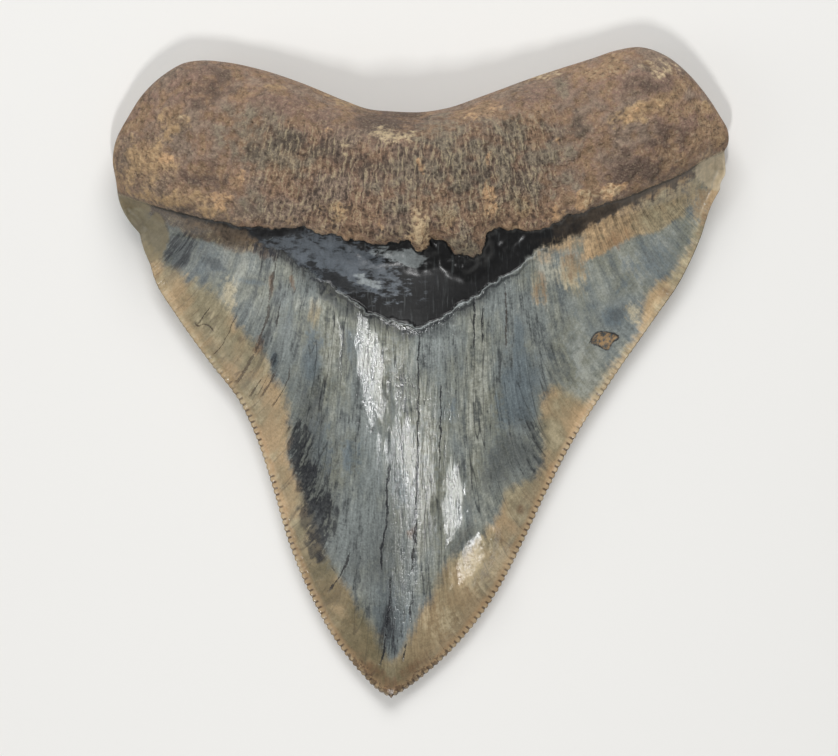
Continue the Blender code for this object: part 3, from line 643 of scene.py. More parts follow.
class Survey:
    """What is where on a set of points of one face: distances to the tooth's lines, in millimetres."""

    def __init__(self, outline, p, tongue_side):
        self.p, self.tongue_side = p, tongue_side
        self.edge = follow(p, outline.closed)[0]
        self.across = outline.across(p)
        self.rim = by_station(RIM_HEIGHT, p[:, 1])
        margin = outline.margin if tongue_side else outline.lip_side_margin
        uneven = 1 - MARGIN_WOBBLE_CALM * smoothstep(*MARGIN_WOBBLE_ENDS, np.abs(p[:, 0]))
        self.margin = above(p, margin) + uneven * wobble(p, MARGIN_WOBBLE)
        self.lip = np.full(len(p), -FAR_OFF)
        if tongue_side:
            self.lip = above(p, outline.lip) + wobble(p, LIP_WOBBLE)
        # Each edge's run counts serrations up from the tip.
        right, left = outline.runs[0], outline.runs[4][::-1]
        to_right, _, up_right = follow(p, right)
        to_left, _, up_left = follow(p, left)
        up_right *= teeth_along(right) / run_length(right)
        up_left *= teeth_along(left) / run_length(left)
        self.serration = np.where(to_right < to_left, up_right, up_left)
        self.from_cutting_edge = np.minimum(to_right, to_left)
        to_tan, side, _ = follow(p, outline.tan)
        self.tan = -to_tan * side
        self.grain = self.flow_grain(outline)
        fanned = p[:, 0] * (1 + RIDGE_FANNING * (p[:, 1] - RIDGE_FAN_LEVEL))
        self.fan = np.column_stack([fanned, p[:, 1]])

    def flow_grain(self, outline):
        """Places along the enamel's streaks: straight in the middle, swept out at the edges."""
        traced = self.p.copy()
        for _ in range(GRAIN_STEPS):
            below = traced[:, 1] < GRAIN_TOP
            lean = GRAIN_LEAN * outline.across(traced) ** 3
            step = np.minimum(GRAIN_STEP, GRAIN_TOP - traced[:, 1])
            traced[below, 0] -= (lean * step)[below]
            traced[below, 1] += step[below]
        return np.column_stack([traced[:, 0], self.p[:, 1]])


def teeth_along(run):
    """How many serrations fit a cutting edge."""
    return round(run_length(run) / SERRATION_PITCH)


def tongue_height(s, relief):
    """Height of the upper face: a full lens of a crown that swells into the root's boss."""
    x, y = s.p[:, 0], s.p[:, 1]
    crest = by_station(CROWN_CREST, y)
    skewed = s.across - by_station(CREST_SHIFT, y) * (1 - s.across**2)
    crown = s.rim + (crest - s.rim) * (1 - skewed**2) ** CROWN_FULLNESS
    crown = with_facets(s.p, crown, smoothstep(0.6, -0.8, s.lip))

    boss = np.exp(-((x / ROOT_BOSS_REACH) ** 2))
    root = ROOT_LOBE_HEIGHT + (ROOT_BOSS_HEIGHT - ROOT_LOBE_HEIGHT) * boss
    root -= LOBE_END_DROP * smoothstep(*LOBE_END, np.abs(x))
    fall = (s.margin - ROOT_CREST_ABOVE_MARGIN) / ROOT_FALL_LENGTH
    root *= 1 - ROOT_TOP_FALL * np.clip(fall, *ROOT_FALL_RANGE) ** 2
    rounding = np.clip(s.edge / ROOT_ROUNDING_TONGUE, 0, 1)
    root = s.rim + (root - s.rim) * np.sqrt(1 - (1 - rounding) ** 2)

    share = smoothstep(*ROOT_BLEND, s.margin)
    return crown + (root - crown) * share + tongue_relief(s, relief)


def with_facets(p, crown, on_enamel):
    """The crown with its long facets, all of one slope, worn into it."""
    fray = FACET_FRAY * lumps(p, 1.0, seed=51.0, stretch=5)
    for x, y, half_width, half_length, turn in FACETS.values():
        middle = crown[np.argmin(np.hypot(p[:, 0] - x, p[:, 1] - y))]
        plane = middle + FACET_SLOPE * (p[:, 1] - y)
        reach = ellipse(p, x, y, half_width, half_length, turn) + fray
        crown = crown + (plane - crown) * on_enamel * smoothstep(*FACET_EDGE, reach)
    return crown


def tongue_relief(s, relief):
    """Ledges, lumps, ridges, flutes, flakes and pits, all fading out at the rim."""
    p, inside = s.p, smoothstep(0, RELIEF_FADE_TONGUE, s.edge)
    on_root = smoothstep(-LEDGE_HALF_WIDTH, LEDGE_HALF_WIDTH, s.margin)
    on_enamel = smoothstep(-0.6 * LEDGE_HALF_WIDTH, 0.6 * LEDGE_HALF_WIDTH, -s.lip)
    lipped = smoothstep(*LIP_FROM_LEFT, p[:, 0]) * smoothstep(*LIP_FROM_RIGHT, p[:, 0])
    height = ROOT_LEDGE * (on_root - 1) + ENAMEL_LEDGE * lipped * on_enamel * (1 - on_root)
    height += LIP_ROLL_HEIGHT * lipped * np.exp(-((s.lip / LIP_ROLL_WIDTH) ** 2)) * on_enamel

    near_margin = np.exp(-((s.margin / MARGIN_LUMPS_REACH) ** 2))
    middle = smoothstep(*RIDGES_ASIDE, np.abs(p[:, 0] - RIDGED_MIDDLE)) * smoothstep(*RIDGES_UP, s.margin)
    bumps = relief.root_lumps * lumps(p, 6.5, seed=3.1)
    bumps += relief.root_grain * lumps(p, 1.7, seed=6.2, octaves=3)
    bumps += relief.margin_lumps * near_margin * np.abs(lumps(p, 2.6, seed=4.4))
    bumps += relief.root_ridges * middle * lumps(p, 0.95, seed=2.2, stretch=4.5)
    height += bumps * on_root

    flow = lumps(s.grain, 3.4, seed=8.4, stretch=9) + 0.35 * lumps(s.grain, 1.3, seed=8.9, stretch=14)
    height += relief.flutes * flow * on_enamel * (1 - on_root)
    for x, y, half_width, half_height, turn, rise in LUMPS.values():
        bump = blob(p, x, y, half_width, half_height, turn)
        height += rise * bump * (on_root if y > ROOT_LUMPS_FROM else on_enamel)
    for corners, depth, reach in BREAKS:
        height -= depth * smoothstep(-BREAK_EDGE, reach, within(p, corners))
    return height * inside + serration_relief(s, relief)


def serration_relief(s, relief):
    """Grooves that run in from the notches of the cutting edge."""
    reach = np.exp(-((s.from_cutting_edge / GROOVE_REACH) ** 2)) * smoothstep(0, GROOVE_FADE, s.edge)
    reach *= by_station(SERRATION_WEAR, s.p[:, 1])
    return relief.serration_grooves * reach * np.cos(2 * np.pi * s.serration)


def lip_height(s, relief):
    """Height of the lower face: zero over the flat that the tooth rests on."""
    x, y = s.p[:, 0], s.p[:, 1]
    flat = np.clip((np.abs(s.across) - REST_FLAT_SHARE) / (1 - REST_FLAT_SHARE), 0, 1)
    tip_lift = TIP_LIFT_SHARE * smoothstep(*TIP_LIFT_LEVELS, y)
    crown = s.rim * np.maximum(flat**REST_RISE_POWER, tip_lift)
    rounding = np.clip(s.edge / ROOT_ROUNDING_LIP, 0, 1)
    root = s.rim * (1 - np.sqrt(1 - (1 - rounding) ** 2))
    hollow = np.exp(-((x / LOBE_HOLLOW_HALF_WIDTH) ** 2))
    hollow = np.maximum(hollow - LOBE_HOLLOW_CUT, 0) / (1 - LOBE_HOLLOW_CUT)
    hollow *= smoothstep(0, ROOT_ROUNDING_LIP, s.edge)
    root += LOBE_HOLLOW_DEPTH * hollow * smoothstep(*LOBE_HOLLOW_LEVELS, y)
    height = crown + (root - crown) * smoothstep(*LIP_SIDE_ROOT_LEVELS, y)

    on_root = smoothstep(-0.4, 0.4, s.margin)
    grain = 0.5 + 0.5 * lumps(s.p, 1.9, seed=6.9, octaves=3)
    broad = 0.5 + 0.5 * lumps(s.p, 6, seed=1.9)
    raised = LIP_SIDE_ROOT_LIFT + relief.root_grain * 1.5 * grain + LIP_SIDE_ROOT_LUMPS * broad
    return height + on_root * raised * smoothstep(0, RELIEF_FADE_LIP, s.edge) - serration_relief(s, relief)


# ---------------------------------------------------------------- mesh


def cutting_rows(run):
    """Points along a cutting edge and behind it; the first row has the serrations."""
    count = teeth_along(run) * POINTS_PER_SERRATION
    line = divided(run, count)
    inward = leftward(line)
    phase = np.arange(count + 1) / POINTS_PER_SERRATION
    notch = (0.5 - 0.5 * np.cos(2 * np.pi * phase)) ** NOTCH_SHARPNESS
    notch *= by_station(SERRATION_WEAR, line[:, 1])
    rows = []
    for depth in (0.0,) + CROWN_RINGS:
        offset = depth + SERRATION_DEPTH * notch * max(0.0, 1 - depth / SERRATION_REACH)
        rows.append(line + offset[:, None] * inward)
    return rows


def plain_rows(run, spacing):
    """Points along a plain stretch of the rim and behind it."""
    line = divided(run, max(2, round(run_length(run) / spacing)))
    return [line + depth * leftward(line) for depth in (0.0,) + ROOT_RINGS]


def field(outline, spacing, placed, from_rim):
    """A triangular grid inside the outline, clear of the rim and of the rows already placed."""
    low, high = outline.loop.min(axis=0), outline.loop.max(axis=0)
    step = spacing * math.sqrt(3) / 2
    across, up = ((high - low) / (spacing, step)).astype(int) + 1
    i, j = np.meshgrid(np.arange(across), np.arange(up))
    grid = np.column_stack([
        (low[0] + spacing * (i + 0.5 * (j % 2))).ravel(), (low[1] + step * j).ravel()
    ])
    grid = grid[enclosed(grid, outline.loop)]
    grid = grid[follow(grid, outline.closed)[0] > from_rim]
    return grid[apart(grid, placed, GRID_GAP * spacing)]


def apart(points, others, gap):
    """Which points stay further than the gap from all the others, found in a coarse grid of cells."""
    cells = {}
    for x, y in others.tolist():
        cells.setdefault((int(x // gap), int(y // gap)), []).append((x, y))
    keep = np.ones(len(points), bool)
    for n, (x, y) in enumerate(points.tolist()):
        i, j = int(x // gap), int(y // gap)
        near = (c for a in (-1, 0, 1) for b in (-1, 0, 1) for c in cells.get((i + a, j + b), ()))
        keep[n] = all((x - u) ** 2 + (y - v) ** 2 > gap * gap for u, v in near)
    return keep


def thin_out(points, gap):
    """The points without those that lie closer than the gap to an earlier one."""
    cells, kept = {}, []
    for x, y in points.tolist():
        i, j = int(x // gap), int(y // gap)
        near = (c for a in (-1, 0, 1) for b in (-1, 0, 1) for c in cells.get((i + a, j + b), ()))
        if all((x - u) ** 2 + (y - v) ** 2 > gap * gap for u, v in near):
            cells.setdefault((i, j), []).append((x, y))
            kept.append((x, y))
    return np.array(kept)


def fill(rim, inner):
    """Triangles that fill the rim through the inner points, with no chord from rim to rim."""
    count = len(rim)
    while True:
        flat = [Vector(p) for p in np.concatenate([rim, inner]).tolist()]
        points, _, triangles = delaunay_2d_cdt(flat, [], [list(range(count))], FILL_INSIDE, WELD)[:3]
        if len(points) != len(flat):
            raise RuntimeError("two points of the tooth's plan coincide: widen a spacing")
        t = np.array(triangles)
        sides = np.sort(np.concatenate([t[:, [0, 1]], t[:, [1, 2]], t[:, [2, 0]]]), axis=1)
        sides = np.unique(sides[sides[:, 1] < count], axis=0)
        gap = sides[:, 1] - sides[:, 0]
        chords = sides[(gap != 1) & (gap != count - 1)]
        if not len(chords):
            return np.array([p[:] for p in points]), t
        inner = np.concatenate([inner, (rim[chords[:, 0]] + rim[chords[:, 1]]) / 2])


def plan_faces(outline):
    """The rim and the points and triangles of both faces in plan."""
    right, chip, root, notch, left = outline.runs
    rows = [cutting_rows(right), plain_rows(chip, CHIP_SPACING), plain_rows(root, ROOT_RIM_SPACING)]
    rows += [plain_rows(notch, CHIP_SPACING), cutting_rows(left)]
    rim = np.concatenate([r[0][:-1] for r in rows])
    behind = np.concatenate([line[1:-1] for r in rows for line in r[1:]])
    edge = follow(behind, outline.closed)[0]
    behind = thin_out(behind[(edge > ROWS_IN) & enclosed(behind, outline.loop)], ROW_GAP)
    behind = behind[apart(behind, rim, RIM_GAP)]

    ledges = []
    for line in (outline.margin, outline.lip):
        line = divided(line, round(run_length(line) / LEDGE_SPACING))
        ledges += [line + offset * leftward(line) for offset in LEDGE_ROWS]
    ledges = np.concatenate(ledges)
    ledges = ledges[enclosed(ledges, outline.loop)]
    ledges = ledges[follow(ledges, outline.closed)[0] > LEDGES_IN]
    rows_up = np.concatenate([behind, thin_out(ledges, LEDGE_GAP)])
    up = np.concatenate([rows_up, field(outline, TONGUE_SPACING, rows_up, TONGUE_GRID_IN)])
    down = np.concatenate([behind, field(outline, LIP_SPACING, behind, LIP_GRID_IN)])
    return rim, fill(rim, up), fill(rim, down)


def stain_fields(p, zone_lists):
    """Density of each kind of stain, from 0 to 1, where each zone's own stains count."""
    warped = p + np.column_stack([wobble(p, STAIN_WOBBLE_X), wobble(p, STAIN_WOBBLE_Y)])
    fields = {}
    for kind in STAIN_KINDS:
        total = np.zeros(len(p))
        for zone, stains in zone_lists:
            clear = np.ones(len(p))
            for x, y, half_width, half_height, turn, strength in stains.get(kind, ()):
                clear *= 1 - strength * blob(warped, x, y, half_width, half_height, turn)
            total[zone] = (1 - clear)[zone]
        fields[kind] = total
    return fields


def crack_field(p, cracks):
    """Signed distance to the nearest crack over its half width, its presence and its share of rust."""
    nearest = np.full(len(p), np.inf)
    signed, presence, rust = np.full(len(p), FAR_OFF), np.zeros(len(p)), np.zeros(len(p))
    waved = p + padded(wobble(p, CRACK_WOBBLE))
    for half_width, rusty, points in cracks:
        line = smooth_curve(points, CRACK_STEPS)
        distance, side, at = follow(waved, line)
        end = np.minimum(at, run_length(line) - at)
        closer = distance < nearest
        nearest[closer] = distance[closer]
        signed[closer] = (side * distance / half_width)[closer]
        fade = smoothstep(0, CRACK_TAPER, end) * smoothstep(CRACK_REACH, 0.6 * CRACK_REACH, distance)
        presence[closer], rust[closer] = fade[closer], rusty
    return np.column_stack([signed, presence, rust])


def strip(s, strength, depth, *spans):
    """A strip under the enamel's lip, of a span of depths and between spans along X."""
    shape = strength * smoothstep(*depth, -s.lip)
    for span in spans:
        shape = shape * smoothstep(*span, s.p[:, 0])
    return shape


def shade_fields(s):
    """Everything that the finish needs to know at each point."""
    x, y = s.p.T
    if s.tongue_side:
        root, band = s.margin > 0, (s.margin <= 0) & (s.lip > 0)
        zones = [(root, ROOT_STAINS), (band, BAND_STAINS), (~root & ~band, CROWN_STAINS)]
        cracks = [crack_field(s.p, group) for group in CRACK_GROUPS]
        flake = np.max([within(s.p, c) for c in (RIGHT_FLAKE, LEFT_FLAKE, LEFT_FACET)], axis=0)
        pit = within(s.p, ENAMEL_PIT)
    else:
        zones = [(np.ones(len(x), bool), LIP_SIDE_STAINS)]
        cracks = [np.tile([FAR_OFF, 0.0, 0.0], (len(x), 1)) for _ in CRACK_GROUPS]
        flake = pit = np.full(len(x), -FAR_OFF)
    ridged = smoothstep(*RIDGE_TINT_ASIDE, np.abs(x - RIDGED_MIDDLE)) * smoothstep(*RIDGE_TINT_UP, s.margin)
    shoulder = np.maximum(strip(s, *SHOULDER_STRIP), strip(s, *SHOULDER_START)) + strip(s, *LEFT_STRIP)
    band_depth = by_station(BAND_DEPTH, x) + s.margin
    fields = {"stain_" + kind: density for kind, density in stain_fields(s.p, zones).items()}
    fields.update(
        ridged=ridged * smoothstep(*RIDGE_TINT_FROM_MARGIN, s.margin) * s.tongue_side,
        shoulder=shoulder * s.tongue_side,
        shaded=strip(s, 1.0, SHADED_DEPTH, SHADED_FROM_LEFT, SHADED_FROM_RIGHT) * s.tongue_side,
        thread=smoothstep(*LIP_GLINT_FROM_LEFT, x) * smoothstep(*LIP_GLINT_FROM_RIGHT, x) * s.tongue_side,
        ends=smoothstep(*LEFT_END, x) + smoothstep(*RIGHT_END, x), sharp=smoothstep(*SHARP_LEVELS, y),
        band_depth=np.clip(band_depth, -FAR_OFF, FAR_OFF), tan=np.clip(s.tan, -FAR_OFF, FAR_OFF),
        margin=s.margin, lip=s.lip, cutting=s.from_cutting_edge, serration=s.serration,
        flake=flake, pit=pit, crack_one=cracks[0], crack_two=cracks[1],
        grain=padded(s.grain), fan=padded(s.fan),
    )
    return fields


def tooth_mesh(relief):
    """The closed mesh of both faces with its fields as attributes."""
    outline = Outline()
    rim, (up_plan, up_faces), (down_plan, down_faces) = plan_faces(outline)
    count = len(rim)
    up = Survey(outline, up_plan, True)
    down = Survey(outline, down_plan[count:], False)
    thinnest = lip_height(up, relief) + THINNEST * smoothstep(0, THINNEST_REACH, up.edge)
    up_z = np.maximum(tongue_height(up, relief), thinnest)
    up_z[:count] = up.rim[:count]
    down_z = np.maximum(lip_height(down, relief), 0.0)
    points = np.concatenate([np.column_stack([up_plan, up_z]), np.column_stack([down_plan[count:], down_z])])

    shared = len(up_plan) - count
    lower = np.where(down_faces < count, down_faces, down_faces + shared)[:, ::-1]
    mesh = bpy.data.meshes.new("tooth_surface")
    mesh.from_pydata(points * MM, [], np.concatenate([up_faces, lower]))
    mesh.shade_smooth()
    above_fields, below_fields = shade_fields(up), shade_fields(down)
    for name, values in above_fields.items():
        values = np.concatenate([values, below_fields[name]])
        if values.ndim == 1:
            mesh.attributes.new(name, "FLOAT", "POINT").data.foreach_set("value", values.astype("f"))
        else:
            made = mesh.attributes.new(name, "FLOAT_VECTOR", "POINT")
            made.data.foreach_set("vector", values.astype("f").ravel())
    mesh.update()
    return mesh


# ---------------------------------------------------------------- shader expressions


def math_node(operation, swapped=False):
    """A method of a wire that adds one Math node."""
    def add(self, other=0.0):
        first, second = (other, self) if swapped else (self, other)
        return self.graph.node("ShaderNodeMath", {"operation": operation}, {0: first, 1: second})

    return add


class Wire:
    """A shader socket that takes part in Python expressions; each operator adds one Math node."""

    def __init__(self, graph, socket):
        self.graph, self.socket = graph, socket

    __add__ = __radd__ = math_node("ADD")
    __mul__ = __rmul__ = math_node("MULTIPLY")
    __sub__, __rsub__ = math_node("SUBTRACT"), math_node("SUBTRACT", swapped=True)
    __abs__, cosine, highest = math_node("ABSOLUTE"), math_node("COSINE"), math_node("MAXIMUM")

    def between(self, low, high):
        """Zero below low and one above high, smooth between them; low may be the larger."""
        return self.graph.node(
            "ShaderNodeMapRange", {"interpolation_type": "SMOOTHSTEP"},
            {"Value": self, "From Min": low, "From Max": high, "To Min": 0.0, "To Max": 1.0},
        )


class Graph:
    """The node tree of one material."""

    def __init__(self, name):
        self.material = bpy.data.materials.new(name)
        self.material.use_nodes = True
        self.tree = self.material.node_tree
        self.tree.nodes.clear()

    def node(self, kind, settings=None, sockets=None, output=0):
        """Adds a node: its settings first, then the values or wires of its input sockets."""
        made = self.tree.nodes.new(kind)
        for name, value in (settings or {}).items():
            setattr(made, name, value)
        for name, value in (sockets or {}).items():
            if isinstance(value, Wire):
                self.tree.links.new(value.socket, made.inputs[name])
            else:
                made.inputs[name].default_value = value
        return Wire(self, made.outputs[output]) if made.outputs else None

    def surface(self, sockets):
        """Ends the tree in a surface with these values and wires."""
        shader = self.node("ShaderNodeBsdfPrincipled", None, sockets)
        self.node("ShaderNodeOutputMaterial", None, {"Surface": shader})

    def field(self, name):
        """A number that the mesh holds at each point."""
        return self.node("ShaderNodeAttribute", {"attribute_name": name}, output=2)

    def field_vector(self, name):
        """Three numbers that the mesh holds at each point."""
        return self.node("ShaderNodeAttribute", {"attribute_name": name}, output=1)

    def part(self, vector, axis):
        """One coordinate of a vector: 0 for X, 1 for Y."""
        return self.node("ShaderNodeSeparateXYZ", None, {0: vector}, output=axis)

    def scaled(self, vector, x, y, z):
        """A vector times a number for each axis."""
        return self.node("ShaderNodeVectorMath", {"operation": "MULTIPLY"}, {0: vector, 1: (x, y, z)})

    def blotches(self, vector, across, along, detail, rough, warp=0.0):
        """Noise about zero, mostly from -1 to 1, in blotches of a size in millimetres, across and along."""
        noise_value = self.node(
            "ShaderNodeTexNoise", None,
            {"Vector": self.scaled(vector, 1 / across, 1 / along, 1 / across), "Scale": 1.0,
             "Detail": detail, "Roughness": rough, "Distortion": warp},
        )
        return noise_value * 5.0 - 2.5

    def shaken(self, vector, noise_value, amount):
        """Places moved about by a noise, so that what is drawn on them has uneven edges."""
        shift = self.node("ShaderNodeCombineXYZ", None, {0: noise_value * amount, 1: noise_value * -amount})
        return self.node("ShaderNodeVectorMath", {"operation": "ADD"}, {0: vector, 1: shift})

    def pebbles(self, vector, across, along):
        """Rounded grains of a size in millimetres: about 0.5 on top of each and -0.5 in the gaps."""
        distance = self.node(
            "ShaderNodeTexVoronoi", None,
            {"Vector": self.scaled(vector, 1 / across, 1 / along, 1 / across), "Scale": 1.0},
        )
        return 0.5 - distance * 1.1

    def mix(self, share, first, second):
        """Goes from the first colour to the second."""
        def rgba(value):
            return value if isinstance(value, Wire) else (*value[:3], 1.0)

        return self.node(
            "ShaderNodeMix", {"data_type": "RGBA", "clamp_factor": True},
            {0: share, 6: rgba(first), 7: rgba(second)}, output=2,
        )

    def layers(self, tint, *coats):
        """Lays colours over a first one in turn, each with its share."""
        for share, coat in coats:
            tint = self.mix(share, tint, coat)
        return tint

    def blend(self, share, first, second):
        """Goes from the first number to the second."""
        return self.node(
            "ShaderNodeMix", {"data_type": "FLOAT", "clamp_factor": True}, {0: share, 2: first, 3: second},
        )

    def brighten(self, tint, amount):
        """Multiplies a colour by a number."""
        grey = self.node("ShaderNodeCombineColor", None, {0: amount, 1: amount, 2: amount})
        return self.node(
            "ShaderNodeMix", {"data_type": "RGBA", "blend_type": "MULTIPLY", "clamp_result": False},
            {0: 1.0, 6: tint, 7: grey}, output=2,
        )


# ---------------------------------------------------------------- finish


def tooth_finish(c):
    """Root, band and enamel in one material, told apart by the mesh's fields."""
    g = Graph("fossil_tooth")
    place = g.scaled(g.node("ShaderNodeTexCoord", output=3), 1 / MM, 1 / MM, 1 / MM)
    grain, fan = g.field_vector("grain"), g.field_vector("fan")

    fleck = g.blotches(place, 0.40, 0.40, 2, 0.5)
    grit = g.blotches(place, 0.95, 0.95, 4, 0.6)
    patch = g.blotches(place, 3.0, 3.0, 3, 0.55)
    cloud = g.blotches(place, 9.0, 9.0, 2, 0.5)
    knob = g.pebbles(g.shaken(place, grit, 0.30), 1.3, 1.3)
    wander = g.blotches(fan, 2.0, 3.2, 3, 0.55)
    comb = (g.part(fan, 0) * (2 * math.pi / RIDGE_PITCH) + wander * 4.5).cosine()
    broken = g.blotches(fan, 0.85, 3.4, 3, 0.6)
    ridge = comb * (0.21 + broken * 0.26) + broken * 0.42 + grit * 0.14
    crinkle = g.blotches(place, 1.9, 0.8, 4, 0.62, 0.3)
    swathe = g.blotches(grain, 7.0, 34.0, 3, 0.5, 0.3)
    broad = g.blotches(grain, 2.2, 15.0, 4, 0.6, 0.3)
    streak = g.blotches(grain, 0.75, 6.5, 4, 0.65, 0.15)
    hair = g.blotches(grain, 0.30, 4.0, 2, 0.5, 0.2)

    margin, lip = g.field("margin"), g.field("lip")
    bone = (margin + fleck * 0.05 + grit * 0.12).between(-0.10, 0.10)
    ends = g.field("ends")
    thread = g.field("thread")
    soft_lip = (streak * 0.4 + patch * 0.8 + grit * 0.4 - lip).between(-0.8, 0.8)
    enamel = g.blend(thread, soft_lip, (fleck * 0.04 + grit * 0.05 - lip).between(-0.08, 0.08))

    def stain(kind, breakup, soft=0.5):
        """The share of a kind of stain, its edge broken up by noise over a softness."""
        amount = g.field("stain_" + kind)
        return (amount * 2.2 - 1.1 + breakup * 2.0).between(-soft, soft) * amount.between(0.02, 0.22)

    # Root
    spread = patch * 0.8 + grit * 0.3 + fleck * 0.08
    ridged = (cloud + patch * 0.6).between(-0.9, 0.2) * 0.3 + 0.7
    ridged = g.field("ridged") * ridged * (1.0 - g.field("stain_light") * 0.8)
    # These tones raise the root's bumps and, in its colour, also paint light on their tops and shade in
    # their gaps.
    ridge_tone = ridge * ridged
    knob_tone = knob * (1.0 - ridged * 0.7)
    ochre = (patch * 0.7 + cloud * 0.6 + grit * 0.4).between(0.1, -0.8) * (1.0 - ridged * 0.7)
    low_ochre = (grit * 0.6 + patch * 0.6).between(-0.2, 0.7) * margin.between(4.0, 0.4)
    root = g.layers(
        g.mix((cloud * 0.7 + patch * 0.6).between(-0.5, 0.5), c.bone, c.bone_grey),
        (ochre * 0.5, c.bone_warm),
        (low_ochre * 0.4, c.bone_warm),
        (stain("warm", spread, 1.2) * 0.8, c.bone_warm),
        (stain("dull", spread, 1.3) * 0.8, c.bone_mauve),
        (stain("cool", spread, 1.2) * 0.75, c.bone_cool),
        (stain("dark", spread, 1.2) * 0.7, c.bone_dark),
        (stain("rust", spread, 0.8) * 0.85, c.bone_rust),
        (stain("light", grit * 0.8 + knob * 1.2, 1.2) * 0.75, c.bone_light),
    )
    lift = g.part(place, 0).between(*PALER_BONE) * 0.06 - ridged * 0.05 + 1.03
    mottle = patch * 0.26 + grit * 0.18 + fleck * 0.07
    # Partly the root's own mottle and ridge colours, partly painted light and shade over its relief: lighter
    # where lumps and ridges stand high, darker in the gaps between them.
    root = g.layers(
        g.brighten(root, mottle + knob_tone * 0.5 + ridge_tone * 0.7 + lift),
        ((ridge_tone * 1.6 + fleck * 0.4).between(-0.1, 0.9) * 0.65, c.bone_crest),
        ((ridge_tone * 1.6 + grit * 0.4).between(0.0, -0.9) * 0.75, c.bone_dark),
        ((grit * 0.8 + fleck * 0.3 + cloud * 0.3).between(-0.5, -1.2) * 0.35, c.bone_dark),
        ((grit * 0.7 + knob * 0.8 - cloud * 0.3).between(0.35, 0.9) * 0.35, c.bone_crest),
    )

    # Band
    rightward = g.part(place, 0).between(*RIGHTWARD)
    # Painted sheen: slate-blue laid over part of the band's glossy black, standing in for the light it
    # reflects.
    slate = stain("cool", crinkle * 0.5 + patch * 0.3)
    end_tint = g.layers(
        g.mix((patch + streak * 0.5).between(-0.5, 0.5) * (rightward * 0.7 + 0.2), c.band_warm, c.bone_warm),
        ((grit + streak * 0.8).between(-0.2, -0.9) * 0.6, c.bone_dark),
    )
    band = g.layers(
        g.mix((streak + hair * 0.5).between(0.2, 1.2) * 0.12, c.band, c.band_pale_and_glint),
        (slate, c.band_sheen_slate),
        ((g.part(place, 0) + patch * 4.0).between(*BROWN_BAND) * 0.5, c.band_warm),
        ((crinkle * 0.6 + patch * 0.5).between(-0.1, -0.7) * slate * 0.7, c.band),
        (stain("warm", spread) * 0.8, c.band_warm),
        # Partly painted glints: pale patches where the band's gloss would catch the light.
        (stain("light", crinkle * 0.5 + patch * 0.4) * 0.65, c.band_pale_and_glint),
        (stain("dark", crinkle * 0.7) * 0.9, c.band),
        ((g.field("band_depth") + grit * 0.35 + patch * 0.5).between(0.5, -0.5) * 0.9, end_tint),
    )
    mottle = crinkle * 0.10 + streak * 0.16 + grit * 0.24 + patch * 0.22 + fleck * 0.12
    # Painted shadow: the band darkened just under the root's overhanging lower edge.
    band = g.mix(margin.between(-0.55, -0.1) * 0.7, g.brighten(band, mottle + 1.0), c.band)

    # Tan zones of the enamel
    drawn = streak * 0.5 + broad * 0.4 + grit * 0.3
    tan = (g.field("tan") + broad * 0.9 + streak * 0.5 + grit * 0.4).between(-1.1, 1.3)
    tip = (g.part(place, 1) + rightward * TIP_LEAN).between(*TIP_LEVELS)
    olive = g.part(place, 1).between(*OLIVE_LEVELS) * (1.0 - rightward)
    olive = olive * g.field("cutting").between(0.5, 6.0)
    olive = (cloud * 0.8 + broad * 0.6 + olive * 0.6).between(-0.6, 0.7)
    tip_tint = g.mix(g.part(place, 0).between(*TIP_MIDDLE) * 0.7, c.tip_olive, c.enamel_warm)
    passage = broad * 0.6 + patch * 0.5 + cloud * 0.4
    tan_tint = g.layers(
        g.mix(olive, c.enamel_warm, c.enamel_olive),
        (tip * ((patch + broad) * 0.7).between(2.2, -1.1), tip_tint),
        (passage.between(0.0, 0.9) * (1.0 - tip) * 0.5, c.enamel_cream),
        (passage.between(-0.2, -1.0) * 0.35, c.enamel_rosy),
    )

    # Strips under the lip, the last of them a painted shade
    shoulder = (g.field("shoulder") * 2.0 - 1.0 + drawn * 0.5 + patch * 0.3).between(-0.6, 0.6)
    rosy = g.layers(
        g.mix((patch * 0.5 + broad * 0.4).between(-1.0, 0.0), c.enamel_olive, c.enamel_rosy),
        (g.part(place, 0).between(*OLIVE_SHOULDER) * 0.8, c.enamel_olive),
    )
    shoulder_tint = g.brighten(
        g.mix(rightward, c.band_warm, rosy), grit * 0.25 + streak * 0.4 + hair * 0.2 + 1.0
    )
    rough = shoulder * (1.0 - rightward)
    # Painted shade: the enamel darkened in streaks just under the lip.
    shaded = (g.field("shaded") * 1.8 - 1.1 + drawn * 1.2).between(-0.7, 0.7)

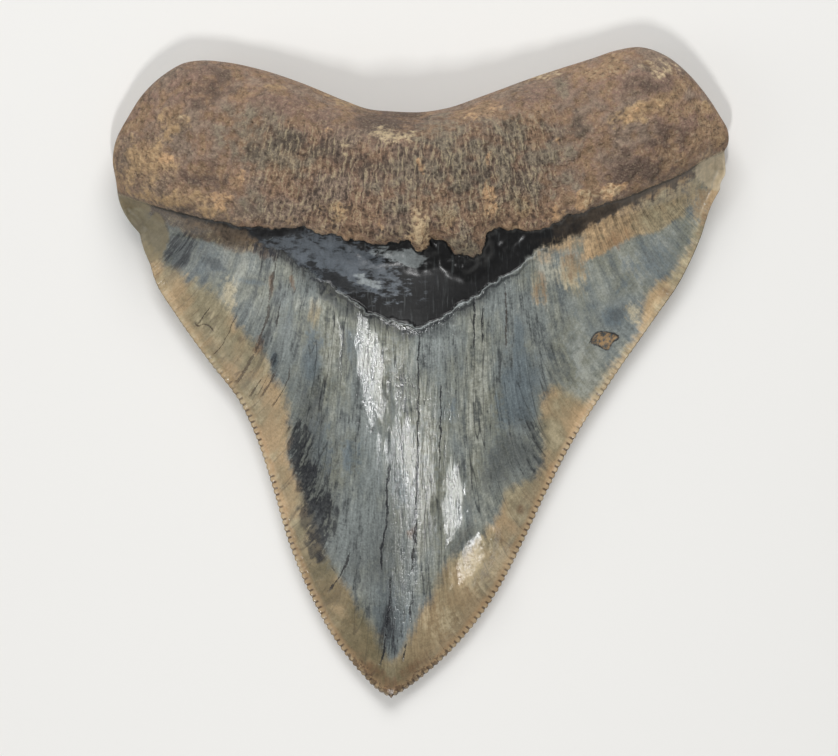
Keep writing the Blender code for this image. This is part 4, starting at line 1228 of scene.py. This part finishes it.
    # Enamel
    calm = 1.0 - (tan * 0.5).highest(ends * 0.55)
    wavy = abs(g.blotches(grain, 2.6, 22.0, 2, 0.5, 0.5)).between(0.11, 0.0)
    wavy = wavy * (patch + swathe * 0.5).between(-0.5, 0.2)
    threads = (streak * 0.9 + broad * 0.5 + grit * 0.4).between(0.9, -0.4) * 0.36 + 0.62
    crown = g.layers(
        g.mix((swathe * 0.6 + cloud * 0.4 + drawn * 0.4).between(-0.5, 0.5), c.enamel, c.enamel_green),
        ((swathe * 0.5 + drawn * 0.9).between(0.0, 1.0) * calm * 0.7, c.enamel_pale),
        ((broad * 0.6 + drawn * 0.8).between(-0.1, -0.9) * calm * 0.8, c.enamel_dark),
        ((cloud * 0.6 + broad * 0.5 + grit * 0.5).between(0.0, 0.9) * 0.45, c.enamel_cool),
        ((broad * 0.7 + patch * 0.5 + swathe * 0.5).between(0.0, 0.9) * ends * 0.55, c.enamel_pale),
        ((broad * 0.6 + patch * 0.6 + swathe * 0.4).between(-0.1, -0.9) * ends * 0.6, c.enamel_cool),
        (stain("cool", drawn * 0.9, 0.9) * 0.75, c.enamel_cool),
        (stain("dull", drawn * 1.2, 0.8) * 0.7, c.enamel_dark),
        (tan, tan_tint),
        (wavy * tan * (1.0 - rightward) * 0.45, c.bone_dark),
        (shoulder * 0.9, shoulder_tint),
        (shoulder * rightward * (streak * 0.7 + hair * 0.6).between(0.2, 1.0) * 0.4, c.enamel_rust),
        (rough * (grit * 0.8 + streak * 0.9).between(0.0, 0.8) * 0.6, c.enamel_black),
        (rough * (grit * 0.8 + streak * 0.9).between(-0.1, -0.8) * 0.6, c.bone_crest),
        (stain("warm", drawn * 0.9, 1.1) * 0.75, tan_tint),
        # Light stains: pale spots, and a painted highlight where they lie under the crown's highlights.
        (stain("light", drawn, 0.9) * 0.6, g.mix(tan.highest(ends), c.enamel_pale, c.enamel_cream)),
        (stain("rust", drawn, 1.1) * 0.6, c.enamel_rust),
        (stain("dark", drawn * 1.1 + streak * 0.9 + 0.15, 0.9) * threads, c.enamel_black),
        # Painted shade under the lip.
        (shaded * 0.6, c.enamel_black),
    )
    lines = streak * 0.24 + hair * 0.20 + broad * 0.12
    speckled = (fleck * 0.20 + grit * 0.16) * (1.0 - tan * 0.3)
    lift = tan * (1.0 - rightward) * (1.0 - tip) * 0.08 + (ends * rightward * 0.20 + 1.04)
    hairline = abs(g.blotches(grain, 1.7, 34.0, 1, 0.5, 0.1)).between(0.085, 0.0)
    hairline = hairline * (swathe + grit * 0.6).between(-0.5, 0.3)
    crown = g.layers(
        g.brighten(crown, lines * calm + speckled + patch * 0.06 + lift),
        (hairline * calm * (1.0 - ends) * 0.7, c.enamel_black),
        ((hair * 0.8 + broad * 0.5 + grit * 0.3).between(-0.6, -1.1) * calm * calm * 0.5, c.enamel_black),
    )

    # Worn cutting edge with dark notches
    cutting = g.field("cutting") + fleck * 0.08
    rim = (cutting + patch * 0.4).between(2.2, 0.8) * g.part(place, 1).between(*ORANGE_RIM_LEVELS)
    worn = cutting.between(1.1, 0.5) * g.field("sharp")
    tick = (g.field("serration") * (2 * math.pi)).cosine().between(-0.25, -0.8)
    tick = tick * (cutting + grit * 0.15).between(1.25, 0.8)
    tick = tick * (g.part(place, 1).between(*NOTCH_LEVELS) * 0.8 + 0.2)
    ticked = (cloud + patch * 0.5).between(-0.8, 0.1)
    speckle = g.part(place, 1).between(*SPECKLE_LEVELS) * cutting.between(3.4, 0.4)
    speckle = (grit * 0.8 + fleck * 0.6 + speckle * 1.6).between(1.2, 1.6)
    crown = g.layers(
        crown,
        (rim * 0.45, c.bone_rust),
        (worn * 0.45, g.mix(streak.between(-0.6, 0.6), c.enamel_warm, c.enamel_cream)),
        (tick * ticked * 0.8, c.edge_notch),
        (speckle * 0.6, c.edge_notch),
    )

    # The lip, with a painted glint along its edge and a painted shadow line under it, and the ragged left
    # end of the band
    fray = lip + grit * 0.12 + fleck * 0.06
    ragged = abs(lip + patch * 0.9 + streak * 0.5).between(1.6, 0.3) * (1.0 - thread) * (1.0 - rightward)
    ragged = ragged * (grit * 0.8 + streak * 0.7).between(-0.3, 0.4)
    ragged = ragged * g.part(place, 0).between(*RAGGED_FROM_LEFT)
    tint = g.layers(
        g.mix(enamel, band, crown),
        # Painted highlight: a pale line along the lip's edge, where it catches the light.
        (abs(fray + 0.10).between(0.20, 0.05) * thread * (patch * 0.4 + 0.6), c.band_pale_and_glint),
        # Painted shadow: a dark line just under the lip.
        (abs(fray + 0.75).between(0.5, 0.1) * thread * 0.6, c.enamel_black),
        (ragged * 0.75, c.enamel_black),
        (bone, root),
    )

    # Cracks
    crack_depth = None
    for name in ("crack_one", "crack_two"):
        crack = g.field_vector(name)
        line = (abs(g.part(crack, 0)) + grit * 0.6 + patch * 0.5 + fleck * 0.3).between(1.2, 0.3)
        line = line * g.part(crack, 1)
        shade = g.mix(g.part(crack, 2), c.enamel_black, c.edge_notch)
        tint = g.mix(line * (1.0 - bone) * (0.9 - g.part(crack, 2) * 0.3), tint, shade)
        crack_depth = line if crack_depth is None else crack_depth.highest(line)

    # Flakes and the pit
    flake_edge = g.field("flake") + fleck * 0.10 + grit * 0.2
    flake = flake_edge.between(-0.25, 0.55)
    flake_tint = g.mix(rightward, c.facet, c.flake)
    flake_tint = g.brighten(flake_tint, grit * 0.14 + patch * 0.14 + streak * 0.10 + 1.0)
    flake_line = abs(flake_edge - 0.1).between(0.4, 0.1) * (patch * 0.6 + cloud * 0.5).between(0.3, -0.3)
    pit_rim = g.field("pit") + fleck * 0.10 + grit * 0.08
    pit_tint = g.mix((grit + fleck * 0.5).between(-0.6, 0.6), c.bone_warm, c.enamel_dark)
    pit_line = abs(pit_rim).between(0.24, 0.05) * (patch + grit * 0.5).between(-0.8, 0.3)
    tint = g.layers(
        tint,
        (flake * 0.8, flake_tint),
        (flake_line * 0.4, g.mix(rightward, c.bone_dark, c.enamel_cream)),
        (pit_rim.between(-0.1, 0.1), g.brighten(pit_tint, patch * 0.3 + fleck * 0.2 + 0.95)),
        (pit_line * 0.85, c.enamel_black),
    )

    # Gloss
    enamel_gloss = 0.19 + streak * 0.08 + hair * 0.04 + grit * 0.05 + tan * 0.08
    band_gloss = 0.34 + crinkle * 0.03 + slate * 0.04
    gloss = g.blend(bone, g.blend(enamel, band_gloss, enamel_gloss), 0.80 + grit * 0.06)
    gloss = g.blend(flake, gloss, 0.45)

    # Fine relief in millimetres
    root_relief = grit * 0.12 + fleck * 0.03 + patch * 0.34 + knob_tone * 0.45 + ridge_tone * 0.45
    wrinkled = crinkle * g.field("stain_light") * tan * 0.03
    enamel_relief = streak * 0.024 + hair * 0.007 + broad * 0.030 + grit * 0.010 + wrinkled
    enamel_relief = enamel_relief - crack_depth * 0.15
    band_relief = crinkle * (slate * slate * 0.022 + 0.001) + streak * 0.004 + grit * 0.002
    height = g.blend(bone, g.blend(enamel, band_relief, enamel_relief), root_relief)
    height = g.blend(flake, height, grit * 0.02)
    normal = g.node("ShaderNodeBump", None, {"Strength": 1.0, "Distance": MM, "Height": height})
    g.surface({"Base Color": tint, "Roughness": gloss, "Normal": normal, "Metallic": 0.0})
    return g.material


def plain_finish(name, tint, gloss):
    """One colour and gloss all over."""
    g = Graph(name)
    g.surface({"Base Color": (*tint, 1.0), "Roughness": gloss})
    return g.material


# ---------------------------------------------------------------- stage

FLOOR_HALF_WIDTH, FLOOR_ROUGHNESS = 1600.0, 0.9
# The view from straight above: what it is centred on, its width at a level, and its camera.
VIEW_CENTRE, VIEW_WIDTH, VIEW_LEVEL = (-0.3, -1.0), 167.6, 10.0
LENS, SENSOR, CLIP_START = 300.0, 36.0, 10.0
# Each light: where it is and its width and height, in millimetres, and its power in watts.
LIGHTS = {
    "window_top": ((0, 620, 560), (700, 420), 5.4),
    "box_for_the_gloss": ((-5, -245, 520), (34, 90), 1.2),
    "fill_left": ((-700, -100, 420), (500, 500), 0.8),
}
AMBIENT = 0.22


class StageLook(PropertyGroup):
    """The floor and the light around the tooth."""

    floor: colour("Floor", "Colour of the floor", 234, 233, 230)
    ambient: FloatProperty(
        name="Ambient", description="Brightness of the light from all sides", default=AMBIENT, min=0,
    )


def add_light(name, place, size, power):
    """Adds a rectangle of light that faces the tooth."""
    light = bpy.data.lights.new(name, "AREA")
    light.shape, light.energy = "RECTANGLE", power
    light.size, light.size_y = size[0] * MM, size[1] * MM
    lamp = bpy.data.objects.new(name, light)
    lamp.location = Vector(place) * MM
    facing = Vector((0, 0, VIEW_LEVEL * MM)) - lamp.location
    lamp.rotation_euler = facing.to_track_quat("-Z", "Y").to_euler()
    lamp.visible_camera = False
    bpy.context.scene.collection.objects.link(lamp)


# ---------------------------------------------------------------- operators


class FOSSIL_OT_tooth(Operator):
    """Build the tooth with its serrations, ledges, cracks and stains"""

    bl_idname = "fossil.tooth"
    bl_label = "Tooth"

    def execute(self, context):
        scene = context.scene
        piece = bpy.data.objects.new("tooth_surface", tooth_mesh(scene.tooth_relief))
        scene.collection.objects.link(piece)
        piece.data.materials.append(tooth_finish(scene.tooth_colours))
        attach(piece, "root")
        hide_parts("tooth")
        return {"FINISHED"}


class FOSSIL_OT_stage(Operator):
    """Set out the floor, the lights and the camera"""

    bl_idname = "fossil.stage"
    bl_label = "Stage"

    def execute(self, context):
        scene, look = context.scene, context.scene.stage_look
        half = FLOOR_HALF_WIDTH * MM
        mesh = bpy.data.meshes.new("floor")
        corners = [(-half, -half, 0), (half, -half, 0), (half, half, 0), (-half, half, 0)]
        mesh.from_pydata(corners, [], [(0, 1, 2, 3)])
        floor = bpy.data.objects.new("floor", mesh)
        floor.data.materials.append(plain_finish("floor_paper", look.floor, FLOOR_ROUGHNESS))
        scene.collection.objects.link(floor)
        for name, light in LIGHTS.items():
            add_light(name, *light)

        world = bpy.data.worlds.new("soft_room")
        world.use_nodes = True
        backdrop = world.node_tree.nodes["Background"].inputs
        backdrop["Color"].default_value = (1.0, 1.0, 1.0, 1.0)
        backdrop["Strength"].default_value = look.ambient
        scene.world = world
        scene.view_settings.view_transform = "Standard"

        lens = bpy.data.cameras.new("camera")
        lens.lens, lens.sensor_width, lens.clip_start = LENS, SENSOR, CLIP_START * MM
        camera = bpy.data.objects.new("camera", lens)
        distance = VIEW_WIDTH * LENS / SENSOR + VIEW_LEVEL
        camera.location = Vector((*VIEW_CENTRE, distance)) * MM
        scene.collection.objects.link(camera)
        scene.camera = camera
        return {"FINISHED"}


class FOSSIL_PT_panel(Panel):
    """The tooth and its stage"""

    bl_label = "Fossil tooth"
    bl_space_type = "VIEW_3D"
    bl_region_type = "UI"
    bl_category = "Fossil"

    def draw(self, context):
        for operator in OPERATORS:
            self.layout.operator(operator.bl_idname)
        for group in (context.scene.tooth_relief, context.scene.tooth_colours, context.scene.stage_look):
            box = self.layout.box()
            for name in group.__annotations__:
                box.prop(group, name)


OPERATORS = (FOSSIL_OT_tooth, FOSSIL_OT_stage)
CLASSES = (ToothRelief, ToothColours, StageLook, *OPERATORS, FOSSIL_PT_panel)


def register():
    """Makes the classes and the three groups of settings known."""
    for each in CLASSES:
        bpy.utils.register_class(each)
    bpy.types.Scene.tooth_relief = PointerProperty(type=ToothRelief)
    bpy.types.Scene.tooth_colours = PointerProperty(type=ToothColours)
    bpy.types.Scene.stage_look = PointerProperty(type=StageLook)


def unregister():
    """Takes them away again."""
    del bpy.types.Scene.tooth_relief, bpy.types.Scene.tooth_colours, bpy.types.Scene.stage_look
    for each in reversed(CLASSES):
        bpy.utils.unregister_class(each)


def main():
    """Builds the stage and the tooth."""
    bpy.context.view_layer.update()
    register()
    bpy.ops.fossil.stage()
    bpy.ops.fossil.tooth()


if __name__ == "__main__":
    main()
